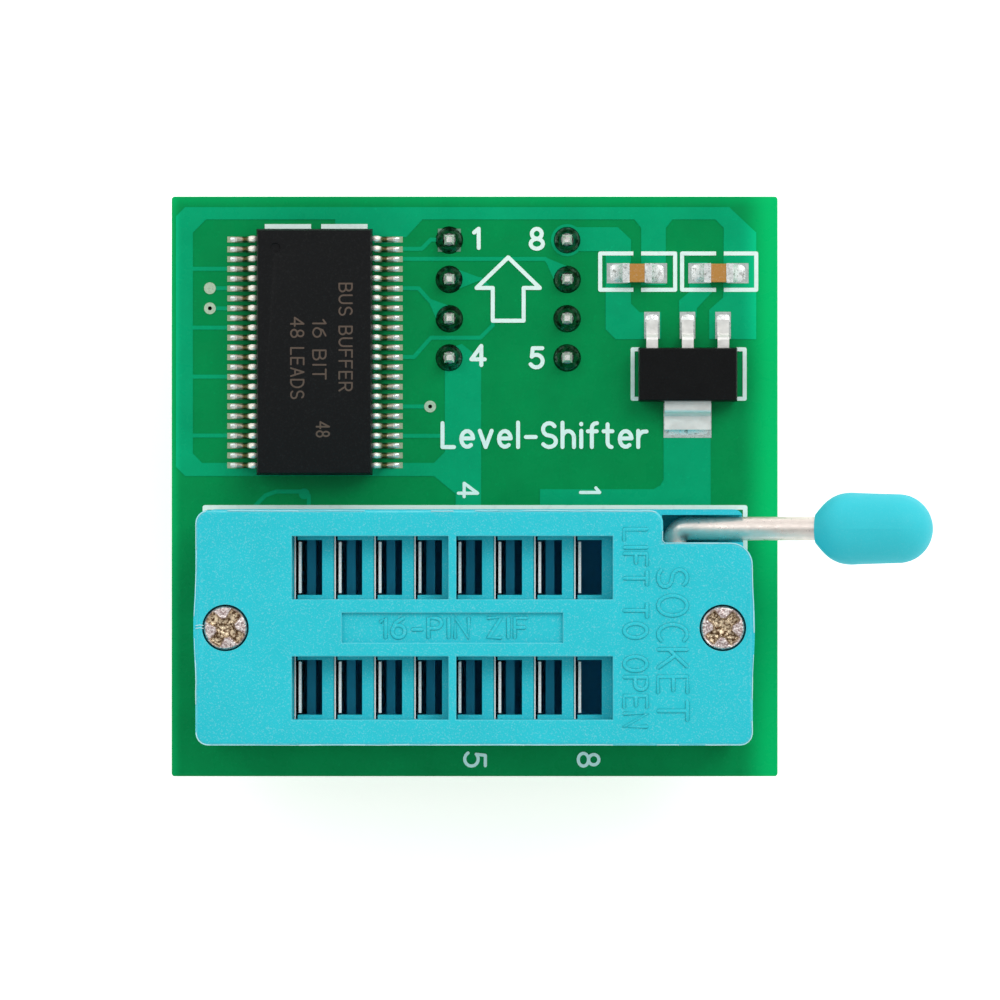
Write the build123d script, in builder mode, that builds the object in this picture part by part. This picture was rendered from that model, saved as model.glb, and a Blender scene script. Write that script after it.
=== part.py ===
"""Plug-in adapter board for a chip programmer.

A small circuit board with two four-pin header strips below it, and above it a lever-operated
zero-insertion-force socket, a 48-lead bus buffer, a three-lead voltage regulator and two chip
capacitors. All sizes are in millimetres.

Frame: the origin is the centre of the eight header pins, on the underside of the header strips, where
the board seats on the socket that it plugs into. +Z is up, +X points along the lever at rest, and +Y
points from the socket towards the header pins.
"""

import os
from math import cos, radians, sin

from build123d import *

# ---------------------------------------------------------------- driving dimensions
pitch = 2.54  # contact spacing of the header and of the socket
row_spacing = 7.62  # between the two rows, on the header and on the socket

# circuit board
board_length = 39.2
board_width = 37.5
board_thickness = 1.6
board_corner_radius = 0.2
board_centre_x = -2.17
board_centre_y = -12.12

# header strips and pins
header_pins_per_row = 4
strip_height = 2.5
strip_width = 2.5
strip_corner_cut = 0.5
pin_side = 0.64
pin_reach_below = 6.0
pin_stand_above_board = 1.4
pin_tip_length = 0.35
pin_tip_side = 0.34
pin_hole_radius = 0.51

# socket: places and outline
socket_centre_x = -2.17
socket_centre_y = -21.1
contacts_per_row = 8
first_contact_from_centre = -11.13  # along X, from the socket's centre
cover_length = 35.3
cover_width = 14.9
cover_corner_radius = 0.8
cover_step_radius = 1.4  # the corner beside the lever
cover_edge_radius = 0.22
base_length = 34.3
base_width = 15.0
base_corner_radius = 0.6

# socket: heights
standoff_height = 0.5
standoff_side = 1.6
base_floor = 1.5
base_height = 8.0  # from the board to the face that the cover sits on
slider_thickness = 2.0
cover_top_thickness = 1.9
sliding_gap = 0.1  # round the slider, inside the cover

# socket: cavities, windows and the comb
well_width = 4.5  # one for each row of contacts
well_end_margin = 1.9
partition_thickness = 0.55
partition_from_contact = 0.45
partition_height = 4.9
window_width = 4.0
window_lead = 0.41  # window edge to first contact
window_bar = 0.5
comb_rib = 0.74
comb_rib_from_contact = 0.33
comb_opening_width = 3.5
comb_slit = 0.25
comb_slit_width = 4.25
label_recess_length = 14.0
label_recess_width = 1.9
label_recess_depth = 0.3
window_edge_chamfer = 0.05
slider_width = 12.5
slider_left_from_contact = 1.95
slider_right_from_contact = 3.55
tongue_overlap = 1.0  # of the tongue into the comb

# contacts
contact_metal = 0.18
contact_width = 2.9
leaf_head_width = 4.1
leaf_head_height = 1.3
leaf_from_blade = 0.22  # at the top, with the socket closed
leaf_spread = 0.85  # at the bottom
contact_bend_share = 0.45  # of the spread, taken up by each bend
blade_below_comb_top = 0.4
leaf_above_comb_top = 0.05
contact_lift = 0.15  # bend of the contact above the well's floor
tail_width = 0.5
tail_below_board = 1.2
tail_hole_radius = 0.45
tail_slot_clearance = 0.05

# lever
rod_diameter = 1.5
rod_bend_inside_radius = 0.05
rod_rest_pitch = 10.0  # degrees above level with the socket closed
lever_travel = 80.0  # degrees, closed to open
slider_travel = 0.7
pivot_from_centre_x = 12.82
lever_plane_from_centre_y = 6.275
rod_length = 11.9  # from the pivot to its end inside the knob
bearing_clearance = 0.04
rod_side_clearance = 0.125
crank_half_length = 2.6
crank_overlap = 0.3
yoke_half_width = 2.0
yoke_depth = 1.3
yoke_wall = 0.5
yoke_side_gap = 0.05
journal_end_from_centre_y = -5.2
chamber_clearance = 0.2
knob_start = 9.1  # along the rod from the pivot
knob_length = 7.5
knob_diameter = 4.6
knob_tail_diameter = 4.4
knob_mouth_diameter = 1.9
knob_nose_length = 2.3
knob_nose_flare = 0.8  # run to rise where the nose meets the mouth
knob_tail_length = 2.2
notch_wall_gap = 0.1  # from the upright rod to the notch's end wall

# screws
screw_spacing = 31.5
screw_diameter = 1.7
screw_head_diameter = 2.76
screw_head_height = 1.0
screw_head_edge = 0.25
screw_sink = 0.12
screw_length = 8.6
screw_end_chamfer = 0.34
screw_hole_clearance = 0.1
screw_recess_width = 0.5
screw_recess_length = 2.0
screw_recess_depth = 0.55
screw_recess_turns = (20, 45)  # degrees, left and right

# tinned pads
pad_thickness = 0.05

# 48-lead buffer chip
chip_centre_x = -12.5
chip_centre_y = -3.45
chip_leads_per_side = 24
chip_lead_pitch = 0.635
chip_body_length = 15.9
chip_body_width = 7.5
chip_body_height = 2.3
chip_standoff = 0.2
chip_taper = 6
chip_dimple_radius = 0.3
chip_dimple_depth = 0.1
chip_dimple_inset = 1.25  # from the body's two sides
chip_lead_span = 10.3
chip_lead_width = 0.25
chip_lead_metal = 0.18
chip_lead_bend_share = 0.6  # of the metal, as the radius of each bend
chip_lead_shoulder = 0.5
chip_lead_slope = 0.25
lead_root = 0.3  # held inside the moulding
chip_pad_length = 1.8
chip_pad_width = 0.38
chip_pad_span = 11.35

# three-lead regulator with a tab
regulator_centre_x = 11.6
regulator_centre_y = -4.9
regulator_body_length = 6.4
regulator_body_width = 3.5
regulator_body_height = 1.6
regulator_standoff = 0.06
regulator_taper = 6
regulator_lead_pitch = 2.3
regulator_lead_width = 0.75
regulator_tab_width = 3.0
regulator_lead_metal = 0.28
regulator_lead_span = 7.1
regulator_lead_shoulder = 0.6
regulator_lead_slope = 0.2
regulator_pad_width = 1.0
regulator_pad_length = 1.75
regulator_tab_pad_width = 3.1
regulator_tab_pad_length = 2.25
regulator_pad_span = 8.15

# chip capacitors
capacitor_centres_x = (8.33, 13.6)
capacitor_centre_y = 1.67
capacitor_length = 1.9
capacitor_width = 1.25
capacitor_height = 0.85
capacitor_end = 0.46
capacitor_end_plating = 0.03
capacitor_pad_length = 1.35
capacitor_pad_width = 1.3
capacitor_pad_span = 3.9

# solder and vias
header_solder_radius = 0.85
header_solder_top_radius = 0.48
header_solder_height = 0.9
tail_solder_radius = 0.8
tail_solder_tip_radius = 0.32
tail_solder_height = 0.8
via_hole_radius = 0.2
via_bore_radius = 0.13
via_pad_radius = 0.38
open_vias = ((-19.3, -0.6), (-5.05, -6.95))
filled_vias = ((-19.3, 0.7),)

# ---------------------------------------------------------------- levels and places
board_bottom = strip_height
board_top = board_bottom + board_thickness
pad_top = board_top + pad_thickness
base_bottom = board_top + standoff_height
well_floor = base_bottom + base_floor
parting = board_top + base_height
comb_top = parting + slider_thickness
cover_underside = comb_top + sliding_gap
cover_top = cover_underside + cover_top_thickness

header_rows_x = (-row_spacing / 2, row_spacing / 2)
header_pins_y = [pitch * (i - (header_pins_per_row - 1) / 2) for i in range(header_pins_per_row)]
contact_rows_y = (socket_centre_y + row_spacing / 2, socket_centre_y - row_spacing / 2)
contacts_x = [
    socket_centre_x + first_contact_from_centre + pitch * i for i in range(contacts_per_row)
]
window_start = contacts_x[0] - window_lead
window_length = pitch * contacts_per_row
window_middle = window_start + window_length / 2
screws_x = (socket_centre_x - screw_spacing / 2, socket_centre_x + screw_spacing / 2)

rod_radius = rod_diameter / 2
crank_throw = slider_travel / (2 * sin(radians(lever_travel / 2)))
pivot_x = socket_centre_x + pivot_from_centre_x
pivot_z = parting - crank_throw - rod_radius - bearing_clearance
crank_x = pivot_x + crank_throw * sin(radians(lever_travel / 2))
crank_z = pivot_z + crank_throw * cos(radians(lever_travel / 2))
lever_y = socket_centre_y + lever_plane_from_centre_y
notch_x = pivot_x - rod_radius - notch_wall_gap
notch_y = lever_y - rod_radius - rod_side_clearance
yoke_left = crank_x - rod_radius - yoke_side_gap
yoke_right = crank_x + rod_radius + yoke_side_gap
tongue_end = yoke_right + yoke_wall
chamber_end = tongue_end + chamber_clearance
slider_left = contacts_x[0] - slider_left_from_contact
slider_right = contacts_x[-1] + slider_right_from_contact
well_left = contacts_x[0] - well_end_margin
well_right = contacts_x[-1] + well_end_margin


def box_between(x0, x1, y0, y1, z0, z1, mode=Mode.ADD):
    """A box given by its two X, two Y and two Z limits."""
    with Locations(((x0 + x1) / 2, (y0 + y1) / 2, (z0 + z1) / 2)):
        Box(x1 - x0, y1 - y0, z1 - z0, mode=mode)


def save(piece, name):
    """Labels a finished piece and writes it as a STEP file under its own name."""
    piece.part.label = name
    export_step(piece.part, f"parts/{name}.step")


# ---------------------------------------------------------------- circuit board
def circuit_board():
    """The laminate, drilled for the header pins, the socket's tails and the vias."""
    with BuildPart() as board:
        with BuildSketch(Plane.XY.offset(board_bottom)):
            with Locations((board_centre_x, board_centre_y)):
                RectangleRounded(board_length, board_width, board_corner_radius)
            with Locations(*[(x, y) for x in header_rows_x for y in header_pins_y]):
                Circle(pin_hole_radius, mode=Mode.SUBTRACT)
            with Locations(*[(x, y) for x in contacts_x for y in contact_rows_y]):
                Circle(tail_hole_radius, mode=Mode.SUBTRACT)
            with Locations(*open_vias, *filled_vias):
                Circle(via_hole_radius, mode=Mode.SUBTRACT)
        extrude(amount=board_thickness)
    return board


def vias():
    """Plated barrels with a pad on each face; a filled via has no bore."""
    with BuildPart() as barrels:
        for centre in (*open_vias, *filled_vias):
            bore = via_bore_radius if centre in open_vias else 0
            for z, radius, height in (
                (board_bottom - pad_thickness, via_pad_radius, pad_thickness),
                (board_bottom, via_hole_radius, board_thickness),
                (board_top, via_pad_radius, pad_thickness),
            ):
                with BuildSketch(Plane.XY.offset(z)):
                    with Locations(centre):
                        Circle(radius)
                        if bore:
                            Circle(bore, mode=Mode.SUBTRACT)
                extrude(amount=height)
    return barrels


# ---------------------------------------------------------------- header
def header_strip(x):
    """A moulded strip that holds one row of pins, with a waist between neighbouring pins."""
    strip_length = pitch * header_pins_per_row
    with BuildPart() as strip:
        with BuildSketch(Plane.XY):
            with Locations((x, 0)):
                Rectangle(strip_width, strip_length)
            waists = [pitch * (i - header_pins_per_row / 2) for i in range(header_pins_per_row + 1)]
            corners = [(x + side * strip_width / 2, y) for side in (-1, 1) for y in waists]
            with Locations(*[Location((cx, cy), 45) for cx, cy in corners]):
                Rectangle(strip_corner_cut, strip_corner_cut, mode=Mode.SUBTRACT)
            with Locations(*[(x, y) for y in header_pins_y]):
                Rectangle(pin_side, pin_side, mode=Mode.SUBTRACT)
        extrude(amount=strip_height)
    return strip


def header_pin(x, y):
    """A square pin, tapered at both ends."""
    top = board_top + pin_stand_above_board
    with BuildPart() as pin:
        with BuildSketch(Plane.XY.offset(-pin_reach_below + pin_tip_length)):
            with Locations((x, y)):
                Rectangle(pin_side, pin_side)
        extrude(amount=pin_reach_below + top - 2 * pin_tip_length)
        for full, tip in (
            (top - pin_tip_length, top),
            (-pin_reach_below + pin_tip_length, -pin_reach_below),
        ):
            with BuildSketch(Plane.XY.offset(full)):
                with Locations((x, y)):
                    Rectangle(pin_side, pin_side)
            with BuildSketch(Plane.XY.offset(tip)):
                with Locations((x, y)):
                    Rectangle(pin_tip_side, pin_tip_side)
            loft()
    return pin


def solder_cones(places, foot, rise, foot_radius, tip_radius, hole_x, hole_y):
    """Solder fillets that stand on a face of the board round square or flat pins."""
    with BuildPart() as cones:
        for place in places:
            with BuildSketch(Plane.XY.offset(foot)):
                with Locations(place):
                    Circle(foot_radius)
            with BuildSketch(Plane.XY.offset(foot + rise)):
                with Locations(place):
                    Circle(tip_radius)
            loft()
        with BuildSketch(Plane.XY.offset(min(foot, foot + rise))):
            with Locations(*places):
                Rectangle(hole_x, hole_y)
        extrude(amount=abs(rise), mode=Mode.SUBTRACT)
    return cones


# ---------------------------------------------------------------- socket
def socket_base():
    """The lower housing: two wells of partitioned contacts, a cam chamber, bearings and a rod channel."""
    half_length, half_width = base_length / 2, base_width / 2
    end_x = socket_centre_x + half_length
    with BuildPart() as base:
        with BuildSketch(Plane.XY.offset(base_bottom)):
            with Locations((socket_centre_x, socket_centre_y)):
                RectangleRounded(base_length, base_width, base_corner_radius)
        extrude(amount=parting - base_bottom)
        # feet that hold the housing off the solder joints
        for side_x in (-1, 1):
            for side_y in (-1, 1):
                foot_x = socket_centre_x + side_x * (half_length - standoff_side)
                foot_y = socket_centre_y + side_y * (half_width - standoff_side)
                with BuildSketch(Plane.XY.offset(board_top)):
                    with Locations((foot_x, foot_y)):
                        Rectangle(standoff_side, standoff_side)
                extrude(amount=standoff_height)
        # a well for each row, with partitions left between neighbouring contacts
        for y in contact_rows_y:
            low_y, high_y = y - well_width / 2, y + well_width / 2
            box_between(well_left, well_right, low_y, high_y, well_floor, parting, Mode.SUBTRACT)
            for x in contacts_x[:-1]:
                left = x + partition_from_contact
                box_between(
                    left, left + partition_thickness, low_y, high_y,
                    well_floor, well_floor + partition_height,
                )
            for x in contacts_x:
                half_x = contact_metal / 2 + tail_slot_clearance
                half_y = tail_width / 2 + tail_slot_clearance
                box_between(
                    x - half_x, x + half_x, y - half_y, y + half_y,
                    base_bottom, well_floor, Mode.SUBTRACT,
                )
        # the chamber that the yoke and the crank move in
        chamber_half = crank_half_length + crank_overlap
        box_between(
            yoke_left - yoke_wall - slider_travel - chamber_clearance, chamber_end,
            socket_centre_y - chamber_half, socket_centre_y + chamber_half,
            pivot_z - rod_radius - chamber_clearance, parting, Mode.SUBTRACT,
        )
        # the two bearings, open at the top so that the rod drops in
        bearing_radius = rod_radius + bearing_clearance
        for low_y, high_y in (
            (socket_centre_y + journal_end_from_centre_y - bearing_clearance, socket_centre_y),
            (socket_centre_y, notch_y),
        ):
            with BuildSketch(Plane.XZ.offset(-low_y)):
                with Locations((pivot_x, pivot_z)):
                    Circle(bearing_radius)
                with Locations((pivot_x, (pivot_z + parting) / 2)):
                    Rectangle(2 * bearing_radius, parting - pivot_z)
            extrude(amount=low_y - high_y, mode=Mode.SUBTRACT)
        # the channel that the rod lies in, open at the end of the housing
        channel_half = rod_radius + rod_side_clearance
        box_between(
            notch_x, end_x, lever_y - channel_half, lever_y + channel_half,
            pivot_z - rod_radius - rod_side_clearance, parting, Mode.SUBTRACT,
        )
        # tapped holes for the two screws
        for x in screws_x:
            with BuildSketch(Plane.XY.offset(parting)):
                with Locations((x, socket_centre_y)):
                    Circle(screw_diameter / 2)
            extrude(amount=base_bottom - parting, mode=Mode.SUBTRACT)
    return base


def socket_slider():
    """The comb that shifts the contact leaves, with a yoke below its tongue for the crank."""
    with BuildPart() as slider:
        box_between(
            slider_left, slider_right,
            socket_centre_y - slider_width / 2, socket_centre_y + slider_width / 2,
            parting, comb_top,
        )
        tongue = (socket_centre_y - yoke_half_width, socket_centre_y + yoke_half_width)
        box_between(slider_right - tongue_overlap, tongue_end, *tongue, parting, comb_top)
        box_between(yoke_left - yoke_wall, tongue_end, *tongue, parting - yoke_depth, parting)
        box_between(
            yoke_left, yoke_right, *tongue,
            parting - yoke_depth, parting + sliding_gap, Mode.SUBTRACT,
        )
        opening_length = pitch - comb_rib
        for x in contacts_x:
            left = x - comb_rib_from_contact
            for y in contact_rows_y:
                half = comb_opening_width / 2
                box_between(
                    left, left + opening_length, y - half, y + half,
                    parting, comb_top, Mode.SUBTRACT,
                )
                half = comb_slit_width / 2
                box_between(
                    left, left + comb_slit, y - half, y + half,
                    parting, comb_top, Mode.SUBTRACT,
                )
    return slider


def socket_cover():
    """The top plate, with a window for each row, a skirt round the slider and a notch for the lever."""
    half_length, half_width = cover_length / 2, cover_width / 2
    right, back = socket_centre_x + half_length, socket_centre_y + half_width
    left, front = socket_centre_x - half_length, socket_centre_y - half_width
    with BuildPart() as cover:
        with BuildSketch(Plane.XY.offset(parting)) as outline:
            with BuildLine():
                Polyline(
                    (left, front), (right, front), (right, notch_y), (notch_x, notch_y),
                    (notch_x, back), (left, back), close=True,
                )
            make_face()
            corners = outline.vertices()
            inner_corner = corners.sort_by_distance((notch_x, notch_y))[0]
            step_corner = corners.sort_by_distance((right, notch_y))[0]
            plain = [v for v in corners if v not in (inner_corner, step_corner)]
            fillet(plain, cover_corner_radius)
            fillet(outline.vertices().sort_by_distance((right, notch_y))[0], cover_step_radius)
        extrude(amount=cover_top - parting)
        fillet(cover.faces().sort_by(Axis.Z)[-1].outer_wire().edges(), cover_edge_radius)
        # the space that the slider moves in
        pocket_half = slider_width / 2 + sliding_gap
        box_between(
            slider_left - slider_travel - chamber_clearance, slider_right + chamber_clearance,
            socket_centre_y - pocket_half, socket_centre_y + pocket_half,
            parting, cover_underside, Mode.SUBTRACT,
        )
        tongue_half = yoke_half_width + chamber_clearance
        box_between(
            slider_right, chamber_end,
            socket_centre_y - tongue_half, socket_centre_y + tongue_half,
            parting, cover_underside, Mode.SUBTRACT,
        )
        # the windows, each crossed by one bar
        for y in contact_rows_y:
            with BuildSketch(Plane.XY.offset(cover_underside)):
                with Locations((window_middle, y)):
                    Rectangle(window_length, window_width)
                    Rectangle(window_bar, window_width, mode=Mode.SUBTRACT)
            extrude(amount=cover_top_thickness, mode=Mode.SUBTRACT)
        # the sunk panel between the windows
        with BuildSketch(Plane.XY.offset(cover_top)):
            with Locations((window_middle, socket_centre_y)):
                Rectangle(label_recess_length, label_recess_width)
        extrude(amount=-label_recess_depth, mode=Mode.SUBTRACT)
        reach_x = window_length / 2 + window_edge_chamfer
        reach_y = (row_spacing + window_width) / 2 + window_edge_chamfer
        window_edges = [
            edge
            for edge in cover.edges().group_by(Axis.Z)[-1]
            if abs(edge.center().X - window_middle) < reach_x
            and abs(edge.center().Y - socket_centre_y) < reach_y
        ]
        chamfer(window_edges, window_edge_chamfer)
        # keepers that hold the rod down in its bearings
        keeper_bottom = pivot_z + rod_radius + bearing_clearance
        chamber_half = crank_half_length + crank_overlap
        for low_y, high_y in (
            (socket_centre_y + journal_end_from_centre_y, socket_centre_y - chamber_half),
            (socket_centre_y + chamber_half, notch_y - cover_corner_radius),
        ):
            box_between(
                pivot_x - rod_radius, pivot_x + rod_radius, low_y, high_y, keeper_bottom, parting,
            )
        # counterbored holes for the two screws
        for x in screws_x:
            with Locations((x, socket_centre_y, cover_top)):
                CounterBoreHole(
                    radius=screw_diameter / 2 + screw_hole_clearance,
                    counter_bore_radius=screw_head_diameter / 2 + screw_hole_clearance,
                    counter_bore_depth=screw_head_height + screw_sink,
                )
    return cover


def contact(x, y):
    """One sprung contact: a leaf that the comb shifts, a fixed blade and a solder tail."""
    leaf_top = comb_top + leaf_above_comb_top
    blade_top = comb_top - blade_below_comb_top
    bend_bottom = well_floor + contact_lift + contact_metal / 2
    with BuildPart() as spring:
        with BuildSketch(Plane.XZ.offset(-y - contact_width / 2)):
            with BuildLine():
                FilletPolyline(
                    (x - leaf_from_blade, leaf_top),
                    (x - leaf_from_blade, parting),
                    (x - leaf_spread, bend_bottom + leaf_spread),
                    (x - leaf_spread, bend_bottom),
                    (x, bend_bottom),
                    (x, blade_top),
                    radius=leaf_spread * contact_bend_share,
                )
            trace(line_width=contact_metal)
        extrude(amount=contact_width)
        half = contact_metal / 2
        box_between(
            x - leaf_from_blade - half, x - leaf_from_blade + half,
            y - leaf_head_width / 2, y + leaf_head_width / 2,
            leaf_top - leaf_head_height, leaf_top,
        )
        box_between(
            x - half, x + half, y - tail_width / 2, y + tail_width / 2,
            board_bottom - tail_below_board, bend_bottom + leaf_spread,
        )
    return spring


def socket_screw(x, turn):
    """A pan-head screw with a cross recess; the thread is a plain cylinder of its outside diameter."""
    head_top = cover_top - screw_sink
    with BuildPart() as screw:
        with BuildSketch(Plane.XY.offset(head_top)):
            with Locations((x, socket_centre_y)):
                Circle(screw_head_diameter / 2)
        extrude(amount=-screw_head_height)
        fillet(screw.edges().group_by(Axis.Z)[-1], screw_head_edge)
        with BuildSketch(Plane.XY.offset(head_top - screw_head_height)):
            with Locations((x, socket_centre_y)):
                Circle(screw_diameter / 2)
        extrude(amount=-screw_length)
        chamfer(screw.edges().group_by(Axis.Z)[0], screw_end_chamfer)
        with BuildSketch(Plane.XY.offset(head_top)):
            with Locations(Location((x, socket_centre_y), turn)):
                Rectangle(screw_recess_length, screw_recess_width)
                Rectangle(screw_recess_width, screw_recess_length)
        extrude(amount=-screw_recess_depth, mode=Mode.SUBTRACT)
    return screw


# ---------------------------------------------------------------- lever
def lever_rod():
    """A bent round rod: two journals with a crank between them, an elbow, and the handle."""
    run = rod_length * cos(radians(rod_rest_pitch))
    rise = rod_length * sin(radians(rod_rest_pitch))
    inner_journal_start = socket_centre_y + crank_half_length - crank_overlap
    with BuildPart() as rod:
        with BuildLine() as path:
            FilletPolyline(
                (pivot_x, inner_journal_start, pivot_z),
                (pivot_x, lever_y, pivot_z),
                (pivot_x + run, lever_y, pivot_z + rise),
                radius=rod_radius + rod_bend_inside_radius,
            )
        with BuildSketch(Plane(path.line @ 0, z_dir=path.line % 0)):
            Circle(rod_radius)
        sweep()
        with BuildSketch(Plane.XZ.offset(-socket_centre_y - crank_half_length)):
            with Locations((crank_x, crank_z)):
                Circle(rod_radius)
        extrude(amount=2 * crank_half_length)
        far_end = socket_centre_y + journal_end_from_centre_y
        far_start = socket_centre_y - crank_half_length + crank_overlap
        with BuildSketch(Plane.XZ.offset(-far_start)):
            with Locations((pivot_x, pivot_z)):
                Circle(rod_radius)
        extrude(amount=far_start - far_end)
    return rod


def lever_knob():
    """A moulded barrel-shaped grip pressed onto the end of the rod."""
    pitch_angle = radians(rod_rest_pitch)
    along = Vector(cos(pitch_angle), 0, sin(pitch_angle))
    pivot = Vector(pivot_x, lever_y, pivot_z)
    profile_plane = Plane(pivot, x_dir=along, z_dir=(0, -1, 0))
    radius, mouth = knob_diameter / 2, knob_mouth_diameter / 2
    tail_radius = knob_tail_diameter / 2
    start, end = knob_start, knob_start + knob_length
    bore_end = rod_length
    with BuildPart() as knob:
        with BuildSketch(profile_plane):
            with BuildLine():
                nose = start + knob_nose_length
                tail = end - knob_tail_length
                l1 = Line((start, rod_radius), (start, mouth))
                l2 = Spline(l1 @ 1, (nose, radius), tangents=[(knob_nose_flare, 1), (1, 0)])
                Line(l2 @ 1, (tail, tail_radius))
                EllipticalCenterArc((tail, 0), knob_tail_length, tail_radius, arc_size=90)
                l5 = Line((end, 0), (bore_end, 0))
                l6 = Line(l5 @ 1, (bore_end, rod_radius))
                Line(l6 @ 1, l1 @ 0)
            make_face()
        revolve(axis=Axis(pivot, along))
    return knob


# ---------------------------------------------------------------- surface-mounted parts
def gull_wing(root, shoulder, slope, tip, level, foot, metal):
    """The side profile of a bent lead, as a path from the body's side out to the tip."""
    return [
        (root, level),
        (shoulder, level),
        (shoulder + slope, foot + metal / 2),
        (tip, foot + metal / 2),
    ]


def chip_lead_places():
    return [
        chip_centre_y + chip_lead_pitch * (i - (chip_leads_per_side - 1) / 2)
        for i in range(chip_leads_per_side)
    ]


chip_parting = pad_top + chip_standoff + chip_body_height / 2


def chip_body():
    """The moulded body, drafted away from its parting line, with a pocket round each lead's root."""
    with BuildPart() as body:
        for direction in (1, -1):
            with BuildSketch(Plane.XY.offset(chip_parting)):
                with Locations((chip_centre_x, chip_centre_y)):
                    Rectangle(chip_body_width, chip_body_length)
            extrude(amount=direction * chip_body_height / 2, taper=chip_taper)
        # the dimple that marks lead 1
        with BuildSketch(Plane.XY.offset(chip_parting + chip_body_height / 2)):
            dimple_x = chip_centre_x - chip_body_width / 2 + chip_dimple_inset
            dimple_y = chip_centre_y + chip_body_length / 2 - chip_dimple_inset
            with Locations((dimple_x, dimple_y)):
                Circle(chip_dimple_radius)
        extrude(amount=-chip_dimple_depth, mode=Mode.SUBTRACT)
        for side in (-1, 1):
            face_x = chip_centre_x + side * chip_body_width / 2
            for y in chip_lead_places():
                with Locations((face_x, y, chip_parting)):
                    Box(2 * lead_root, chip_lead_width, chip_lead_metal, mode=Mode.SUBTRACT)
    return body


def chip_leads(side):
    """The 24 gull-wing leads of one side."""
    root = chip_body_width / 2 - lead_root
    shoulder = chip_body_width / 2 + chip_lead_shoulder
    points = gull_wing(
        root, shoulder, chip_lead_slope, chip_lead_span / 2, chip_parting, pad_top, chip_lead_metal
    )
    with BuildPart() as leads:
        for y in chip_lead_places():
            with BuildSketch(Plane.XZ.offset(-y - chip_lead_width / 2)):
                with BuildLine():
                    FilletPolyline(
                        *[(chip_centre_x + side * r, z) for r, z in points],
                        radius=chip_lead_metal * chip_lead_bend_share,
                    )
                trace(line_width=chip_lead_metal)
            extrude(amount=chip_lead_width)
    return leads


def chip_pads():
    """The tinned pads under the chip's leads."""
    middle = (chip_pad_span - chip_pad_length) / 2
    with BuildPart() as pads:
        with BuildSketch(Plane.XY.offset(board_top)):
            places = [
                (chip_centre_x + side * middle, y) for side in (-1, 1) for y in chip_lead_places()
            ]
            with Locations(*places):
                Rectangle(chip_pad_length, chip_pad_width)
        extrude(amount=pad_thickness)
    return pads


regulator_parting = pad_top + regulator_standoff + regulator_body_height / 2
regulator_leads_x = [regulator_centre_x + regulator_lead_pitch * i for i in (-1, 0, 1)]


def regulator_body():
    """The moulded body, with a pocket for each lead and for the tab."""
    back = regulator_centre_y + regulator_body_width / 2
    front = regulator_centre_y - regulator_body_width / 2
    with BuildPart() as body:
        for direction in (1, -1):
            with BuildSketch(Plane.XY.offset(regulator_parting)):
                with Locations((regulator_centre_x, regulator_centre_y)):
                    Rectangle(regulator_body_length, regulator_body_width)
            extrude(amount=direction * regulator_body_height / 2, taper=regulator_taper)
        for x in regulator_leads_x:
            with Locations((x, back, regulator_parting)):
                Box(regulator_lead_width, 2 * lead_root, regulator_lead_metal, mode=Mode.SUBTRACT)
        with Locations((regulator_centre_x, front, regulator_parting)):
            Box(regulator_tab_width, 2 * lead_root, regulator_lead_metal, mode=Mode.SUBTRACT)
    return body


def regulator_lead(x, side, width):
    """One bent lead, or the wide tab; side is +1 for the leads' side and -1 for the tab's."""
    root = regulator_body_width / 2 - lead_root
    shoulder = regulator_body_width / 2 + regulator_lead_shoulder
    points = gull_wing(
        root, shoulder, regulator_lead_slope, regulator_lead_span / 2,
        regulator_parting, pad_top, regulator_lead_metal,
    )
    with BuildPart() as lead:
        with BuildSketch(Plane.YZ.offset(x - width / 2)):
            with BuildLine():
                FilletPolyline(
                    *[(regulator_centre_y + side * r, z) for r, z in points],
                    radius=regulator_lead_metal * 0.6,
                )
            trace(line_width=regulator_lead_metal)
        extrude(amount=width)
    return lead


def regulator_pads():
    """Three lead pads and the wide pad that carries the tab."""
    lead_y = regulator_centre_y + (regulator_pad_span - regulator_pad_length) / 2
    tab_y = regulator_centre_y - (regulator_pad_span - regulator_tab_pad_length) / 2
    with BuildPart() as pads:
        with BuildSketch(Plane.XY.offset(board_top)):
            with Locations(*[(x, lead_y) for x in regulator_leads_x]):
                Rectangle(regulator_pad_width, regulator_pad_length)
            with Locations((regulator_centre_x, tab_y)):
                Rectangle(regulator_tab_pad_width, regulator_tab_pad_length)
        extrude(amount=pad_thickness)
    return pads


def capacitor_block(x):
    """The ceramic block."""
    plating = 2 * capacitor_end_plating
    with BuildPart() as block:
        with Locations((x, capacitor_centre_y, pad_top + capacitor_height / 2)):
            Box(capacitor_length - plating, capacitor_width - plating, capacitor_height - plating)
    return block


def capacitor_ends(x):
    """The two plated end caps, which wrap round the ceramic block."""
    plating = 2 * capacitor_end_plating
    with BuildPart() as ends:
        for side in (-1, 1):
            end_x = x + side * (capacitor_length - capacitor_end) / 2
            with Locations((end_x, capacitor_centre_y, pad_top + capacitor_height / 2)):
                Box(capacitor_end, capacitor_width, capacitor_height)
        with Locations((x, capacitor_centre_y, pad_top + capacitor_height / 2)):
            Box(
                capacitor_length - plating, capacitor_width - plating, capacitor_height - plating,
                mode=Mode.SUBTRACT,
            )
    return ends


def capacitor_pads():
    """Two tinned pads under each capacitor."""
    middle = (capacitor_pad_span - capacitor_pad_length) / 2
    with BuildPart() as pads:
        with BuildSketch(Plane.XY.offset(board_top)):
            for x in capacitor_centres_x:
                with Locations((x - middle, capacitor_centre_y), (x + middle, capacitor_centre_y)):
                    Rectangle(capacitor_pad_length, capacitor_pad_width)
        extrude(amount=pad_thickness)
    return pads


# ---------------------------------------------------------------- build
os.makedirs("parts", exist_ok=True)

save(circuit_board(), "circuit_board")
save(vias(), "plated_vias")

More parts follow.
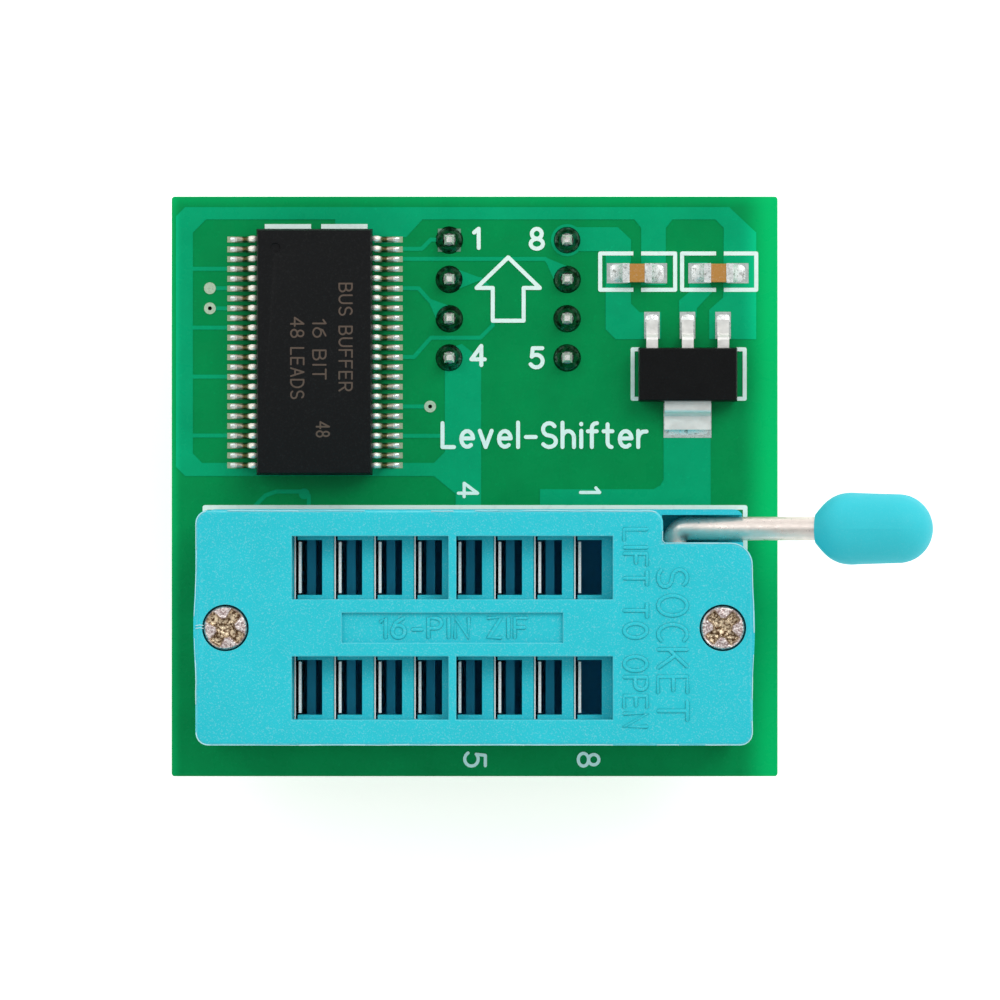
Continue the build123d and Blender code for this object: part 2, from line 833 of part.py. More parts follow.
for row_x, side in zip(header_rows_x, ("left", "right")):
    save(header_strip(row_x), f"header_strip_{side}")
# pin 1 is at the back of the left row; the numbers run down it and back up the right row
pin_places = [(header_rows_x[0], y) for y in reversed(header_pins_y)]
pin_places += [(header_rows_x[1], y) for y in header_pins_y]
for number, place in enumerate(pin_places, start=1):
    save(header_pin(*place), f"header_pin_{number}")
save(
    solder_cones(
        pin_places, board_top, header_solder_height,
        header_solder_radius, header_solder_top_radius, pin_side, pin_side,
    ),
    "header_solder",
)

save(socket_base(), "socket_base")
save(socket_slider(), "socket_slider")
save(socket_cover(), "socket_cover")
for screw_x, turn, side in zip(screws_x, screw_recess_turns, ("left", "right")):
    save(socket_screw(screw_x, turn), f"cover_screw_{side}")
# contact 1 is at the lever end of the back row; the numbers run left along it and back along the front
contact_places = [(x, contact_rows_y[0]) for x in reversed(contacts_x)]
contact_places += [(x, contact_rows_y[1]) for x in contacts_x]
for number, place in enumerate(contact_places, start=1):
    save(contact(*place), f"contact_{number:02d}")
save(
    solder_cones(
        contact_places, board_bottom, -tail_solder_height,
        tail_solder_radius, tail_solder_tip_radius, contact_metal, tail_width,
    ),
    "contact_solder",
)

save(lever_rod(), "lever_rod")
save(lever_knob(), "lever_knob")

save(chip_body(), "buffer_chip_body")
save(chip_leads(-1), "buffer_chip_leads_left")
save(chip_leads(1), "buffer_chip_leads_right")
save(chip_pads(), "buffer_chip_pads")

save(regulator_body(), "regulator_body")
for number, lead_x in enumerate(regulator_leads_x, start=1):
    save(regulator_lead(lead_x, 1, regulator_lead_width), f"regulator_lead_{number}")
save(regulator_lead(regulator_centre_x, -1, regulator_tab_width), "regulator_tab")
save(regulator_pads(), "regulator_pads")

for centre_x, side in zip(capacitor_centres_x, ("left", "right")):
    save(capacitor_block(centre_x), f"capacitor_{side}_block")
    save(capacitor_ends(centre_x), f"capacitor_{side}_ends")
save(capacitor_pads(), "capacitor_pads")
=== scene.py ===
"""Looks for a plug-in adapter board: solder mask, copper, ink, solder, mouldings, metal and the stage.

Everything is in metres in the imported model's frame. Sizes in millimetres are multiplied by MM.
"""

import bmesh
import bpy
import numpy as np
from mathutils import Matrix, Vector, geometry


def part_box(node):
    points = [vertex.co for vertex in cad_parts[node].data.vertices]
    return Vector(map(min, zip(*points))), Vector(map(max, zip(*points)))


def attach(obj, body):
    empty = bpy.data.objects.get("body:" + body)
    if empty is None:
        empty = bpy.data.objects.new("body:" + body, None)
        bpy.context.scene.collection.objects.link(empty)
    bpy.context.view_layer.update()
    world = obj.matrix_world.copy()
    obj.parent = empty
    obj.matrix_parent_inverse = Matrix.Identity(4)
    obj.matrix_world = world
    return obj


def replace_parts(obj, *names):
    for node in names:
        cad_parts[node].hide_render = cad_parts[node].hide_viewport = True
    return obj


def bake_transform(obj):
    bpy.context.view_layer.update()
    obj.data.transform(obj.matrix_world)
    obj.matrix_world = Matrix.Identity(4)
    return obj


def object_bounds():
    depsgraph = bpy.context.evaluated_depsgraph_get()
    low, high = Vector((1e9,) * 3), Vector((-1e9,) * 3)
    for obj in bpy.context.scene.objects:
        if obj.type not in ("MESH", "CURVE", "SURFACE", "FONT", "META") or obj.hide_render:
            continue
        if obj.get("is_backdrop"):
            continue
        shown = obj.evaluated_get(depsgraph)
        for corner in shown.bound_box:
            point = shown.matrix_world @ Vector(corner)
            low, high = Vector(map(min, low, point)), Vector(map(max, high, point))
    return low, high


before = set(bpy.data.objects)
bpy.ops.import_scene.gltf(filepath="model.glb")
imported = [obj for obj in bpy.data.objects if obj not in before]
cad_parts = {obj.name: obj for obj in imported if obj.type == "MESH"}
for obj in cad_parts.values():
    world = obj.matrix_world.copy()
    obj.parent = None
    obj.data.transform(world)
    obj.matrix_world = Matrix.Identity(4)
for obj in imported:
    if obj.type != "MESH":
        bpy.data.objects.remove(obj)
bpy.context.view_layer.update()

bl_info = {
    "name": "Adapter board looks",
    "version": (1, 0, 0),
    "blender": (4, 5, 0),
    "location": "3D View > Sidebar > Adapter",
    "description": "Finishes, small solid detail and a plain stage for a plug-in adapter board",
    "category": "Object",
}

MM = 0.001
BOARD_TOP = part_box("circuit_board")[1].z / MM
BOARD_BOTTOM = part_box("circuit_board")[0].z / MM
COVER_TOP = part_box("socket_cover")[1].z / MM
CONTACTS = sorted(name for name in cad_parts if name.startswith("contact_") and name[-1].isdigit())
PINS = sorted(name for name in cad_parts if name.startswith("header_pin_"))
SINK = 0.01  # how far a laid-on piece reaches into the face it lies on, in mm
PAD_RISE = 0.045  # thickness of the tinned pads, in mm
CONTACT_METAL = 0.18  # thickness of the contacts' sheet, in mm


def linear(red, green, blue):
    """Screen colour from 0 to 255 to linear light: the power 2.4 curve, with its straight foot."""
    c = np.array((red, green, blue)) / 255
    return tuple(np.where(c <= 0.04045, c / 12.92, ((c + 0.055) / 1.055) ** 2.4))


# ---- settings
def tint(name, description, red, green, blue):
    """A colour setting; its default is a screen colour from 0 to 255."""
    return bpy.props.FloatVectorProperty(
        name=name, description=description, subtype="COLOR", default=linear(red, green, blue), min=0, max=1)


def size(name, description, default, least, most):
    """A size setting in millimetres."""
    return bpy.props.FloatProperty(
        name=name, description=f"{description}, in mm", default=default, min=least, max=most)


class AdapterColours(bpy.types.PropertyGroup):
    """Colours of the finishes."""

    mask: tint("Solder mask", "Mask over bare laminate", 0, 138, 74)
    copper_mask: tint("Mask over copper", "Mask where copper lies below", 2, 160, 108)
    laminate: tint("Laminate", "Cut edge of the board", 150, 176, 104)
    ink: tint("Ink", "Printed lines and numbers", 220, 241, 234)
    socket: tint("Socket", "Socket moulding", 42, 192, 206)
    knob: tint("Knob", "Lever knob moulding", 56, 192, 205)
    chip: tint("Chip", "Black moulding of the chips", 15, 16, 17)
    ceramic: tint("Ceramic", "Capacitor body", 176, 126, 62)


class AdapterSizes(bpy.types.PropertyGroup):
    """Sizes of the small solid detail, in millimetres."""

    copper_height: size("Copper height", "Rise of masked copper", 0.035, 0.01, 0.1)
    ink_height: size("Ink height", "Thickness of printed ink", 0.02, 0.005, 0.05)
    ink_line: size("Ink line", "Width of printed lines", 0.26, 0.1, 0.6)
    letter_height: size("Moulded letter rise", "Rise of moulded letters", 0.085, 0.02, 0.2)
    edge: size("Soft edge", "Rounding of moulded edges", 0.045, 0.02, 0.3)


class Step:
    """What the operators share: each hands the settings to its own build."""

    def execute(self, context):
        self.build(context.scene.adapter_colours, context.scene.adapter_sizes)
        return {"FINISHED"}


# ---- materials
class Finish:
    """A procedural material built round one Principled shader, on Object coordinates."""

    def __init__(self, name, roughness, metallic=0.0, specular=0.16):
        self.material = bpy.data.materials.new(name)
        self.material.use_nodes = True
        self.tree = self.material.node_tree
        self.shader = next(n for n in self.tree.nodes if n.type == "BSDF_PRINCIPLED")
        self.shader.inputs["Roughness"].default_value = roughness
        self.shader.inputs["Metallic"].default_value = metallic
        self.shader.inputs["Specular IOR Level"].default_value = specular
        self.place = self.node("ShaderNodeTexCoord").outputs["Object"]

    def node(self, kind, inputs=(), **settings):
        """Adds a node; an input is a number, a colour or another node's output."""
        made = self.tree.nodes.new(kind)
        for key, value in settings.items():
            setattr(made, key, value)
        for key, value in dict(inputs).items():
            if isinstance(value, bpy.types.NodeSocket):
                self.tree.links.new(value, made.inputs[key])
            else:
                made.inputs[key].default_value = value
        return made

    def noise(self, size, detail=3.0, roughness=0.6, stretch=(1, 1, 1)):
        """Fractal noise from 0 to 1 with features about size millimetres across."""
        scale = tuple(s / (size * MM) for s in stretch)
        moved = self.node("ShaderNodeMapping", {"Vector": self.place, "Scale": scale})
        made = self.node("ShaderNodeTexNoise", {
            "Vector": moved.outputs[0], "Scale": 1.0, "Detail": detail, "Roughness": roughness})
        return made.outputs[0]

    def ramp(self, value, low, high, to_low=0.0, to_high=1.0):
        """Value carried from low..high onto to_low..to_high with soft ends."""
        made = self.node("ShaderNodeMapRange", {
            "Value": value, "From Min": low, "From Max": high, "To Min": to_low, "To Max": to_high,
        }, interpolation_type="SMOOTHSTEP")
        return made.outputs[0]

    def times(self, a, b):
        return self.math("MULTIPLY", a, b)

    def away(self, coordinate, centre):
        """How far a coordinate, in metres, is from a centre in millimetres."""
        return self.math("ABSOLUTE", self.math("SUBTRACT", coordinate, centre * MM), 0.0)

    def math(self, kind, a, b):
        return self.node("ShaderNodeMath", {0: a, 1: b}, operation=kind).outputs[0]

    def mix(self, factor, a, b):
        """Colour a where factor is 0 and colour b where it is 1."""
        made = self.node("ShaderNodeMix", data_type="RGBA")
        for index, value in ((0, factor), (6, a), (7, b)):
            if isinstance(value, bpy.types.NodeSocket):
                self.tree.links.new(value, made.inputs[index])
            else:
                made.inputs[index].default_value = value if index == 0 else (*value[:3], 1)
        return made.outputs[2]

    def up(self):
        """How far the surface faces up: 1 on a top, 0 on an upright side."""
        normal = self.node("ShaderNodeNewGeometry").outputs["Normal"]
        return self.node("ShaderNodeSeparateXYZ", {0: normal}).outputs[2]

    def axes(self):
        """X, Y and Z of the surface point, in metres."""
        return self.node("ShaderNodeSeparateXYZ", {0: self.place}).outputs

    def colour(self, value):
        if isinstance(value, bpy.types.NodeSocket):
            self.tree.links.new(value, self.shader.inputs["Base Color"])
        else:
            self.shader.inputs["Base Color"].default_value = (*value[:3], 1)

    def rough(self, value):
        self.tree.links.new(value, self.shader.inputs["Roughness"])

    def bumps(self, height, depth, strength=1.0):
        """Fine relief; depth is in millimetres."""
        made = self.node("ShaderNodeBump", {"Height": height, "Distance": depth * MM, "Strength": strength})
        self.tree.links.new(made.outputs[0], self.shader.inputs["Normal"])
        return self


def scaled(colour, factor):
    return tuple(min(1.0, c * factor) for c in colour[:3])


def solder_mask(name, colour, laminate=None):
    """Glossy mask: cloudy green with painted light that pales it towards the board's ends; the cut edge shows
    glass weave.
    """
    finish = Finish(name, roughness=0.3, specular=0.08)
    low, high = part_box("circuit_board")
    x, y, _ = finish.axes()
    cloud = finish.mix(finish.noise(3.0), scaled(colour, 0.78), scaled(colour, 1.12))
    speck = finish.ramp(finish.noise(0.22, detail=2), 0.62, 0.78, 0.0, 0.3)
    surface = finish.mix(speck, cloud, scaled(colour, 1.5))
    # painted light: the mask pales towards the right and left ends and the top edge, a painted glow
    pale = scaled(colour, 2.1)
    surface = finish.mix(finish.ramp(x, high.x - 2.6 * MM, high.x - 0.3 * MM, 0.0, 0.85), surface, pale)
    surface = finish.mix(finish.ramp(x, low.x, low.x + 0.7 * MM, 0.45, 0.0), surface, pale)
    surface = finish.mix(finish.ramp(y, high.y - 0.8 * MM, high.y, 0.0, 0.3), surface, pale)
    if laminate:
        weave = finish.mix(
            finish.noise(0.25, stretch=(0.3, 0.3, 4.0)), scaled(laminate, 0.6), scaled(laminate, 1.15))
        facing = finish.math("ABSOLUTE", finish.up(), 0.0)
        surface = finish.mix(finish.ramp(facing, 0.3, 0.7), weave, surface)
    finish.colour(surface)
    finish.rough(finish.ramp(finish.noise(1.2), 0.2, 0.8, 0.2, 0.36))
    return finish.bumps(finish.noise(0.35, detail=2), 0.004, 0.5).material


def moulding(name, colour, roughness, grain=0.16, grain_depth=0.01, pale_edge=0.0, fleck=0.3, sides=1.0,
             inside=None):
    """Moulded plastic: fine pebbled grain, slight clouding, and paler rounded edges. Sides other than 1
    darkens what faces sideways, as painted shade. Inside is a colour of painted light, with the middle
    and the half size of the box it fills."""
    finish = Finish(name, roughness=roughness, specular=0.12)
    cloud = finish.mix(finish.noise(2.5), scaled(colour, 0.93), scaled(colour, 1.05))
    where = finish.ramp(finish.noise(0.11, detail=3, roughness=0.75), 0.5, 0.72, 0.0, fleck)
    shade = finish.mix(where, cloud, tuple(c + (1 - c) * 0.4 for c in colour[:3]))
    if pale_edge:
        facing = finish.up()
        rising = finish.ramp(facing, 0.3, 0.6)
        falling = finish.ramp(facing, 0.86, 0.97, 1.0, 0.0)
        ragged = finish.ramp(finish.noise(0.7), 0.3, 0.7, 0.35, 1.0)
        edge = finish.times(finish.times(rising, falling), ragged)
        edge = finish.times(edge, pale_edge)
        shade = finish.mix(edge, shade, tuple(c + (1 - c) * 0.6 for c in colour[:3]))
    # painted shade: faces that turn sideways are darkened
    if sides != 1.0:
        shade = finish.mix(finish.ramp(finish.up(), 0.35, 0.9, 1.0, 0.0), shade, scaled(colour, sides))
    # painted light: a brighter tint inside the given box
    if inside:
        tint, middle, half = inside
        where = 1.0
        for coordinate, centre, reach in zip(finish.axes(), middle, half):
            away = finish.away(coordinate, centre)
            near = finish.ramp(away, (reach - 0.1) * MM, reach * MM, 1.0, 0.0)
            where = finish.times(where, near)
        shade = finish.mix(where, shade, tint)
    finish.colour(shade)
    finish.rough(finish.ramp(finish.noise(0.8), 0.2, 0.8, roughness - 0.06, roughness + 0.08))
    return finish.bumps(finish.noise(grain, detail=3, roughness=0.65), grain_depth, 0.6).material


def metal(name, colour, roughness, stain=None, stain_from=0.55, spot=0.5, dents=0.006, brushed=(1, 1, 1),
          shine=0.6):
    """Plated metal: uneven gloss, small dents, and a stain where the noise runs high. Shine is how far it
    is mirror rather than dull oxide."""
    finish = Finish(name, roughness=roughness, metallic=shine)
    tone = finish.mix(finish.noise(spot), scaled(colour, 0.85), scaled(colour, 1.08))
    if stain:
        where = finish.ramp(finish.noise(spot * 0.8, detail=5), stain_from, stain_from + 0.2)
        tone = finish.mix(where, tone, stain)
    finish.colour(tone)
    low, high = max(0.05, roughness - 0.1), roughness + 0.14
    finish.rough(finish.ramp(finish.noise(spot * 0.6), 0.3, 0.75, low, high))
    return finish.bumps(finish.noise(spot * 0.5, detail=4, stretch=brushed), dents, 0.7).material


def lead_finish(name, centre, bright, painted_shade_tone):
    """Tinned leads: painted highlights at the knee and foot, painted shade between; centre is the chip's X in
    mm.
    """
    finish = Finish(name, roughness=0.32, metallic=0.6)
    x, _, _ = finish.axes()
    away = finish.away(x, centre)
    away = finish.math("ADD", away, finish.times(finish.noise(0.3), 0.24 * MM))
    start = finish.ramp(away, 4.3 * MM, 4.5 * MM)
    stop = finish.ramp(away, 5.12 * MM, 5.42 * MM, 1.0, 0.0)
    middle = finish.ramp(away, 4.72 * MM, 4.9 * MM, 1.0, 0.6)
    where = finish.times(finish.times(start, stop), middle)
    finish.colour(finish.mix(where, bright, painted_shade_tone))
    return finish.bumps(finish.noise(0.2), 0.01, 0.6).material


def ink_material(name, colour, thin=0.25):
    """Printed ink: matt, slightly thin in places so that what is below tints it."""
    finish = Finish(name, roughness=0.5, specular=0.3)
    worn = finish.ramp(finish.noise(0.5, detail=4), 0.5, 0.75, 0.0, thin)
    finish.colour(finish.mix(worn, colour, scaled(colour, 0.6)))
    finish.rough(finish.ramp(finish.noise(0.3), 0.2, 0.8, 0.4, 0.6))
    return finish.bumps(finish.noise(0.12), 0.004, 0.5).material


def floor_material():
    """Pale, even paper on a light table."""
    finish = Finish("stage_paper", roughness=0.9, specular=0.1)
    white = linear(250, 250, 250)
    finish.colour(finish.mix(finish.noise(40.0), scaled(white, 0.985), white))
    finish.shader.inputs["Emission Color"].default_value = (1, 1, 1, 1)
    finish.shader.inputs["Emission Strength"].default_value = 0.45
    return finish.bumps(finish.noise(0.6), 0.002, 0.2).material


# ---- mesh helpers
def box_sides(name):
    """A node's box in millimetres: low and high X, low and high Y, low and high Z."""
    low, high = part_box(name)
    return [v / MM for pair in zip(low, high) for v in pair]


def middle_of(name):
    """The middle of a node in X and Y, in millimetres."""
    low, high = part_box(name)
    return (low.x + high.x) / 2 / MM, (low.y + high.y) / 2 / MM


def mesh_piece(name, shape, material, body="board", smooth=False):
    """A mesh object from a pair: points in millimetres, n by 3, and faces as rows of point numbers."""
    points, faces = shape
    mesh = bpy.data.meshes.new(name)
    points = np.asarray(points, float) * MM
    mesh.from_pydata(points.tolist(), [], [tuple(f) for f in faces])
    mesh.validate()
    if smooth:
        mesh.shade_smooth()
    mesh.materials.append(material)
    piece = bpy.data.objects.new(name, mesh)
    bpy.context.collection.objects.link(piece)
    if body:
        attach(piece, body)
    return piece


def grid_faces(rows, columns, wrap=False):
    """Quads between the points of a rows by columns grid; wrap joins the last column to the first."""
    r, c = np.meshgrid(np.arange(rows - 1), np.arange(columns if wrap else columns - 1), indexing="ij")
    right = (c + 1) % columns
    return np.stack(
        [r * columns + c, r * columns + right, (r + 1) * columns + right, (r + 1) * columns + c], -1
    ).reshape(-1, 4)


def joined(parts):
    """Several (points, faces) pairs as one pair, with the point numbers moved on."""
    points, faces, start = [], [], 0
    for p, f in parts:
        points.append(np.asarray(p, float))
        faces += [tuple(int(i) + start for i in face) for face in f]
        start += len(p)
    return np.concatenate(points), faces


def flat_union(outlines, bottom, top, holes=()):
    """Closed flat outlines in millimetres, merged where they overlap, less the holes, as one slab from
    bottom to top."""
    outlines = [np.asarray(o, float) for o in list(outlines) + list(holes)]
    areas = [np.sum(o[:, 0] * np.roll(o[:, 1], -1) - np.roll(o[:, 0], -1) * o[:, 1]) / 2 for o in outlines]
    outlines = [o if area > 0 else o[::-1] for o, area in zip(outlines, areas) if abs(area) > 1e-6]
    corners = np.concatenate(outlines)
    starts = np.cumsum([0] + [len(o) for o in outlines])
    loops = [list(range(a, b)) for a, b in zip(starts[:-1], starts[1:])]
    found = geometry.delaunay_2d_cdt([tuple(c) for c in corners], [], loops, 1, 1e-5)
    flat = np.array([tuple(v) for v in found[0]])
    solid = len(outlines) - len(holes)
    kept = [face for face, source in zip(found[2], found[5]) if source and max(source) < solid]
    covered = np.array(kept, int)
    a, b, c = (flat[covered[:, i]] for i in range(3))
    turn = (b[:, 0] - a[:, 0]) * (c[:, 1] - a[:, 1]) - (b[:, 1] - a[:, 1]) * (c[:, 0] - a[:, 0])
    covered[turn < 0] = covered[turn < 0][:, ::-1]
    sides = np.concatenate([covered[:, [0, 1]], covered[:, [1, 2]], covered[:, [2, 0]]])
    once = {tuple(s) for s in sides} - {tuple(s[::-1]) for s in sides}
    n = len(flat)
    points = np.concatenate([np.c_[flat, np.full(n, top)], np.c_[flat, np.full(n, bottom)]])
    faces = [tuple(f) for f in covered] + [tuple(f[::-1] + n) for f in covered]
    faces += [(a, a + n, b + n, b) for a, b in once]
    return points, faces


def disc(x, y, radius, sides=20):
    """A regular outline round a point: radius times the cosine and sine of evenly spaced angles."""
    turn = np.arange(sides) * 2 * np.pi / sides
    return np.c_[x + radius * np.cos(turn), y + radius * np.sin(turn)]


def box_outline(x0, x1, y0, y1):
    return np.array([(x0, y0), (x1, y0), (x1, y1), (x0, y1)])


def stroke(path, width, round_ends=True, closed=False):
    """Outlines that cover a line of one width: a rectangle on each run and a disc on each corner."""
    path = np.asarray(path, float)
    if closed:
        path = np.concatenate([path, path[:1]])
    runs = path[1:] - path[:-1]
    length = np.maximum(np.linalg.norm(runs, axis=1, keepdims=True), 1e-9)
    side = np.c_[-runs[:, 1], runs[:, 0]] / length * width / 2
    shapes = list(np.stack([path[:-1] - side, path[1:] - side, path[1:] + side, path[:-1] + side], 1))
    ends = path if round_ends or closed else path[1:-1]
    return shapes + [disc(x, y, width / 2, 12) for x, y in ends]


def rounded(corners, step):
    """Points every step along a closed outline whose corners (x, y, radius) are replaced by arcs."""
    corners = np.array(corners, float)
    points = []
    for before, here, after in zip(np.roll(corners, 1, 0), corners, np.roll(corners, -1, 0)):
        a, b = before[:2] - here[:2], after[:2] - here[:2]
        a, b = a / np.linalg.norm(a), b / np.linalg.norm(b)
        centre = here[:2] + (a + b) * here[2]
        share = np.linspace(0, np.pi / 2, 8)[:, None]
        points.append(centre - b * here[2] * np.cos(share) - a * here[2] * np.sin(share))
    outline = np.concatenate(points + [points[0][:1]])
    length = np.r_[0, np.cumsum(np.linalg.norm(np.diff(outline, axis=0), axis=1))]
    places = np.arange(0, length[-1], step)
    return np.c_[np.interp(places, length, outline[:, 0]), np.interp(places, length, outline[:, 1])]


def ridge(path, width, height, base):
    """A soft ridge along a line: a half ellipse carried along the path and closed to a point at its ends."""
    path = np.asarray(path, float)
    path = path[np.r_[True, np.linalg.norm(np.diff(path, axis=0), axis=1) > 0.02]]
    heading = np.gradient(path, axis=0)
    heading /= np.maximum(np.linalg.norm(heading, axis=1, keepdims=True), 1e-9)
    cap = heading[[0, -1]] * width * 0.45
    path = np.concatenate([path[:1] - cap[:1], path[:1], path[1:-1], path[-1:], path[-1:] + cap[1:]])
    heading = np.concatenate([heading[:1], heading, heading[-1:]])
    size = np.ones(len(path))
    size[[0, -1]] = 0.05
    turn = np.linspace(0, np.pi, 7)
    side = np.c_[-heading[:, 1], heading[:, 0]][:, None] * (np.cos(turn) * width / 2)[None, :, None]
    flat = path[:, None] + side * size[:, None, None]
    rise = base + height * (np.sin(turn) ** 0.7)[None] * size[:, None]
    rise[:, [0, -1]] = base - 0.02
    return np.concatenate([flat, rise[..., None]], -1).reshape(-1, 3), grid_faces(len(path), 7)


def revolved(x, y, profile, sides=24):
    """A profile of (radius, height) rows turned round an upright axis through (x, y)."""
    profile = np.asarray(profile, float)
    turn = np.arange(sides) * 2 * np.pi / sides
    points = np.stack([
        x + profile[:, :1] * np.cos(turn), y + profile[:, :1] * np.sin(turn),
        np.repeat(profile[:, 1:], sides, 1)], -1)
    faces = [tuple(f) for f in grid_faces(len(profile), sides, wrap=True)]
    ring = np.arange(sides)
    faces += [tuple(ring[::-1]), tuple(ring + (len(profile) - 1) * sides)]
    return points.reshape(-1, 3), faces


def softened(node, width, material, body="board", segments=2, angle=28):
    """A copy of a CAD node with its loose triangles merged and its sharp edges rounded, in its place."""
    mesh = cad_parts[node].data.copy()
    work = bmesh.new()
    work.from_mesh(mesh)
    bmesh.ops.remove_doubles(work, verts=work.verts, dist=2e-6)
    bmesh.ops.dissolve_limit(work, angle_limit=np.radians(0.6), verts=work.verts, edges=work.edges)
    work.to_mesh(mesh)
    work.free()
    mesh.materials.clear()
    mesh.materials.append(material)
    mesh.shade_smooth()
    mesh.set_sharp_from_angle(angle=np.radians(angle))
    piece = bpy.data.objects.new(f"{node}_finished", mesh)
    bpy.context.collection.objects.link(piece)
    edge = piece.modifiers.new("soft_edges", "BEVEL")
    edge.width = width * MM
    edge.segments = segments
    edge.limit_method = "ANGLE"
    edge.angle_limit = np.radians(angle)
    edge.use_clamp_overlap = True
    edge.harden_normals = True
    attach(piece, body)
    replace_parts(piece, node)
    return piece


def coat(material, *nodes):
    """Gives CAD nodes a finish."""
    for name in nodes:
        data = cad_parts[name].data
        data.materials.clear()
        data.materials.append(material)


# ---- lettering
def bow(cx, cy, rx, ry, start, end):
    """Points on an ellipse from one angle to another, in degrees."""
    steps = max(3, int(abs(end - start) / 22))
    turn = np.radians(np.linspace(start, end, steps))
    return [(cx + rx * c, cy + ry * s) for c, s in zip(np.cos(turn), np.sin(turn))]


BOWL = [(0, 0.0), (0, 1), (0.34, 1)] + bow(0.34, 0.74, 0.26, 0.26, 90, -90) + [(0, 0.48)]
LETTERS = {
    " ": [],
    "-": [[(0.05, 0.42), (0.5, 0.42)]],
    "1": [[(0.1, 0.8), (0.34, 1.0), (0.34, 0.0)]],
    "4": [[(0.52, 0.0), (0.52, 1.0), (0.0, 0.3), (0.7, 0.3)]],
    "5": [[(0.6, 1.0), (0.1, 1.0), (0.05, 0.56)] + bow(0.28, 0.33, 0.34, 0.33, 130, -150)],
    "6": [bow(0.62, 0.32, 0.62, 0.68, 100, 180) + bow(0.3, 0.32, 0.3, 0.32, 180, 540)],
    "8": [bow(0.31, 0.75, 0.25, 0.25, 0, 360), bow(0.31, 0.25, 0.31, 0.25, 0, 360)],
    "A": [[(0, 0), (0.33, 1), (0.66, 0)], [(0.12, 0.33), (0.54, 0.33)]],
    "B": [
        [(0, 0.52), (0, 1), (0.32, 1)] + bow(0.32, 0.76, 0.24, 0.24, 90, -90) + [(0, 0.52)],
        [(0, 0.52), (0.32, 0.52)] + bow(0.34, 0.26, 0.28, 0.26, 90, -90) + [(0, 0), (0, 0.52)]],
    "C": [bow(0.34, 0.5, 0.34, 0.5, 50, 310)],
    "D": [[(0, 0), (0, 1), (0.22, 1)] + bow(0.22, 0.5, 0.42, 0.5, 90, -90) + [(0, 0)]],
    "E": [[(0.55, 1), (0, 1), (0, 0), (0.55, 0)], [(0, 0.52), (0.48, 0.52)]],
    "F": [[(0.55, 1), (0, 1), (0, 0)], [(0, 0.52), (0.46, 0.52)]],
    "I": [[(0.05, 0), (0.05, 1)]],
    "K": [[(0, 0), (0, 1)], [(0.58, 1), (0, 0.38)], [(0.2, 0.58), (0.62, 0)]],
    "L": [[(0, 1), (0, 0), (0.52, 0)]],
    "N": [[(0, 0), (0, 1), (0.62, 0), (0.62, 1)]],
    "O": [bow(0.34, 0.5, 0.34, 0.5, 0, 360)],
    "P": [BOWL],
    "R": [BOWL, [(0.3, 0.48), (0.62, 0)]],
    "S": [bow(0.31, 0.74, 0.28, 0.26, 30, 270) + bow(0.31, 0.24, 0.31, 0.24, 90, -150)],
    "T": [[(0, 1), (0.64, 1)], [(0.32, 1), (0.32, 0)]],
    "U": [[(0, 1), (0, 0.32)] + bow(0.31, 0.32, 0.31, 0.32, 180, 360) + [(0.62, 1)]],
    "Z": [[(0, 1), (0.6, 1), (0, 0), (0.6, 0)]],
    "e": [[(0.05, 0.36)] + bow(0.3, 0.34, 0.27, 0.33, 4, 310)],
    "f": [bow(0.38, 0.8, 0.2, 0.2, 80, 180) + [(0.18, 0)], [(0, 0.66), (0.4, 0.66)]],
    "h": [[(0, 1.02), (0, 0)], bow(0.26, 0.4, 0.26, 0.27, 180, 0) + [(0.52, 0)]],
    "i": [[(0.03, 0.68), (0.03, 0)], [(0.03, 0.95), (0.03, 0.97)]],
    "l": [[(0.03, 1.02), (0.03, 0)]],
    "r": [[(0, 0.68), (0, 0)], bow(0.3, 0.36, 0.3, 0.3, 180, 75)],
    "t": [[(0.18, 0.95), (0.18, 0.2)] + bow(0.36, 0.2, 0.18, 0.2, 180, 270), [(0, 0.66), (0.4, 0.66)]],
    "v": [[(0, 0.68), (0.27, 0), (0.54, 0.68)]],
}


def lettering(text, height, centre, length=None, turn=0, gap=0.3):
    """Strokes of a line of text, centred on a point, stretched to a length and turned by quarter turns."""
    strokes, x = [], 0.0
    for letter in text:
        lines = [np.array(line) for line in LETTERS[letter]]
        width = max((line[:, 0].max() for line in lines), default=0.3)
        strokes += [line + (x, 0) for line in lines]
        x += width + gap
    x -= gap
    stretch = (length / (x * height)) if length else 1.0
    cosine, sine = np.cos(np.radians(turn)), np.sin(np.radians(turn))
    done = []
    for line in strokes:
        across = (line[:, 0] - x / 2) * height * stretch
        up = (line[:, 1] - 0.5) * height
        done.append(np.c_[centre[0] + across * cosine - up * sine, centre[1] + across * sine + up * cosine])
    return done


# ---- board
TRACE_WIDTH = 0.26


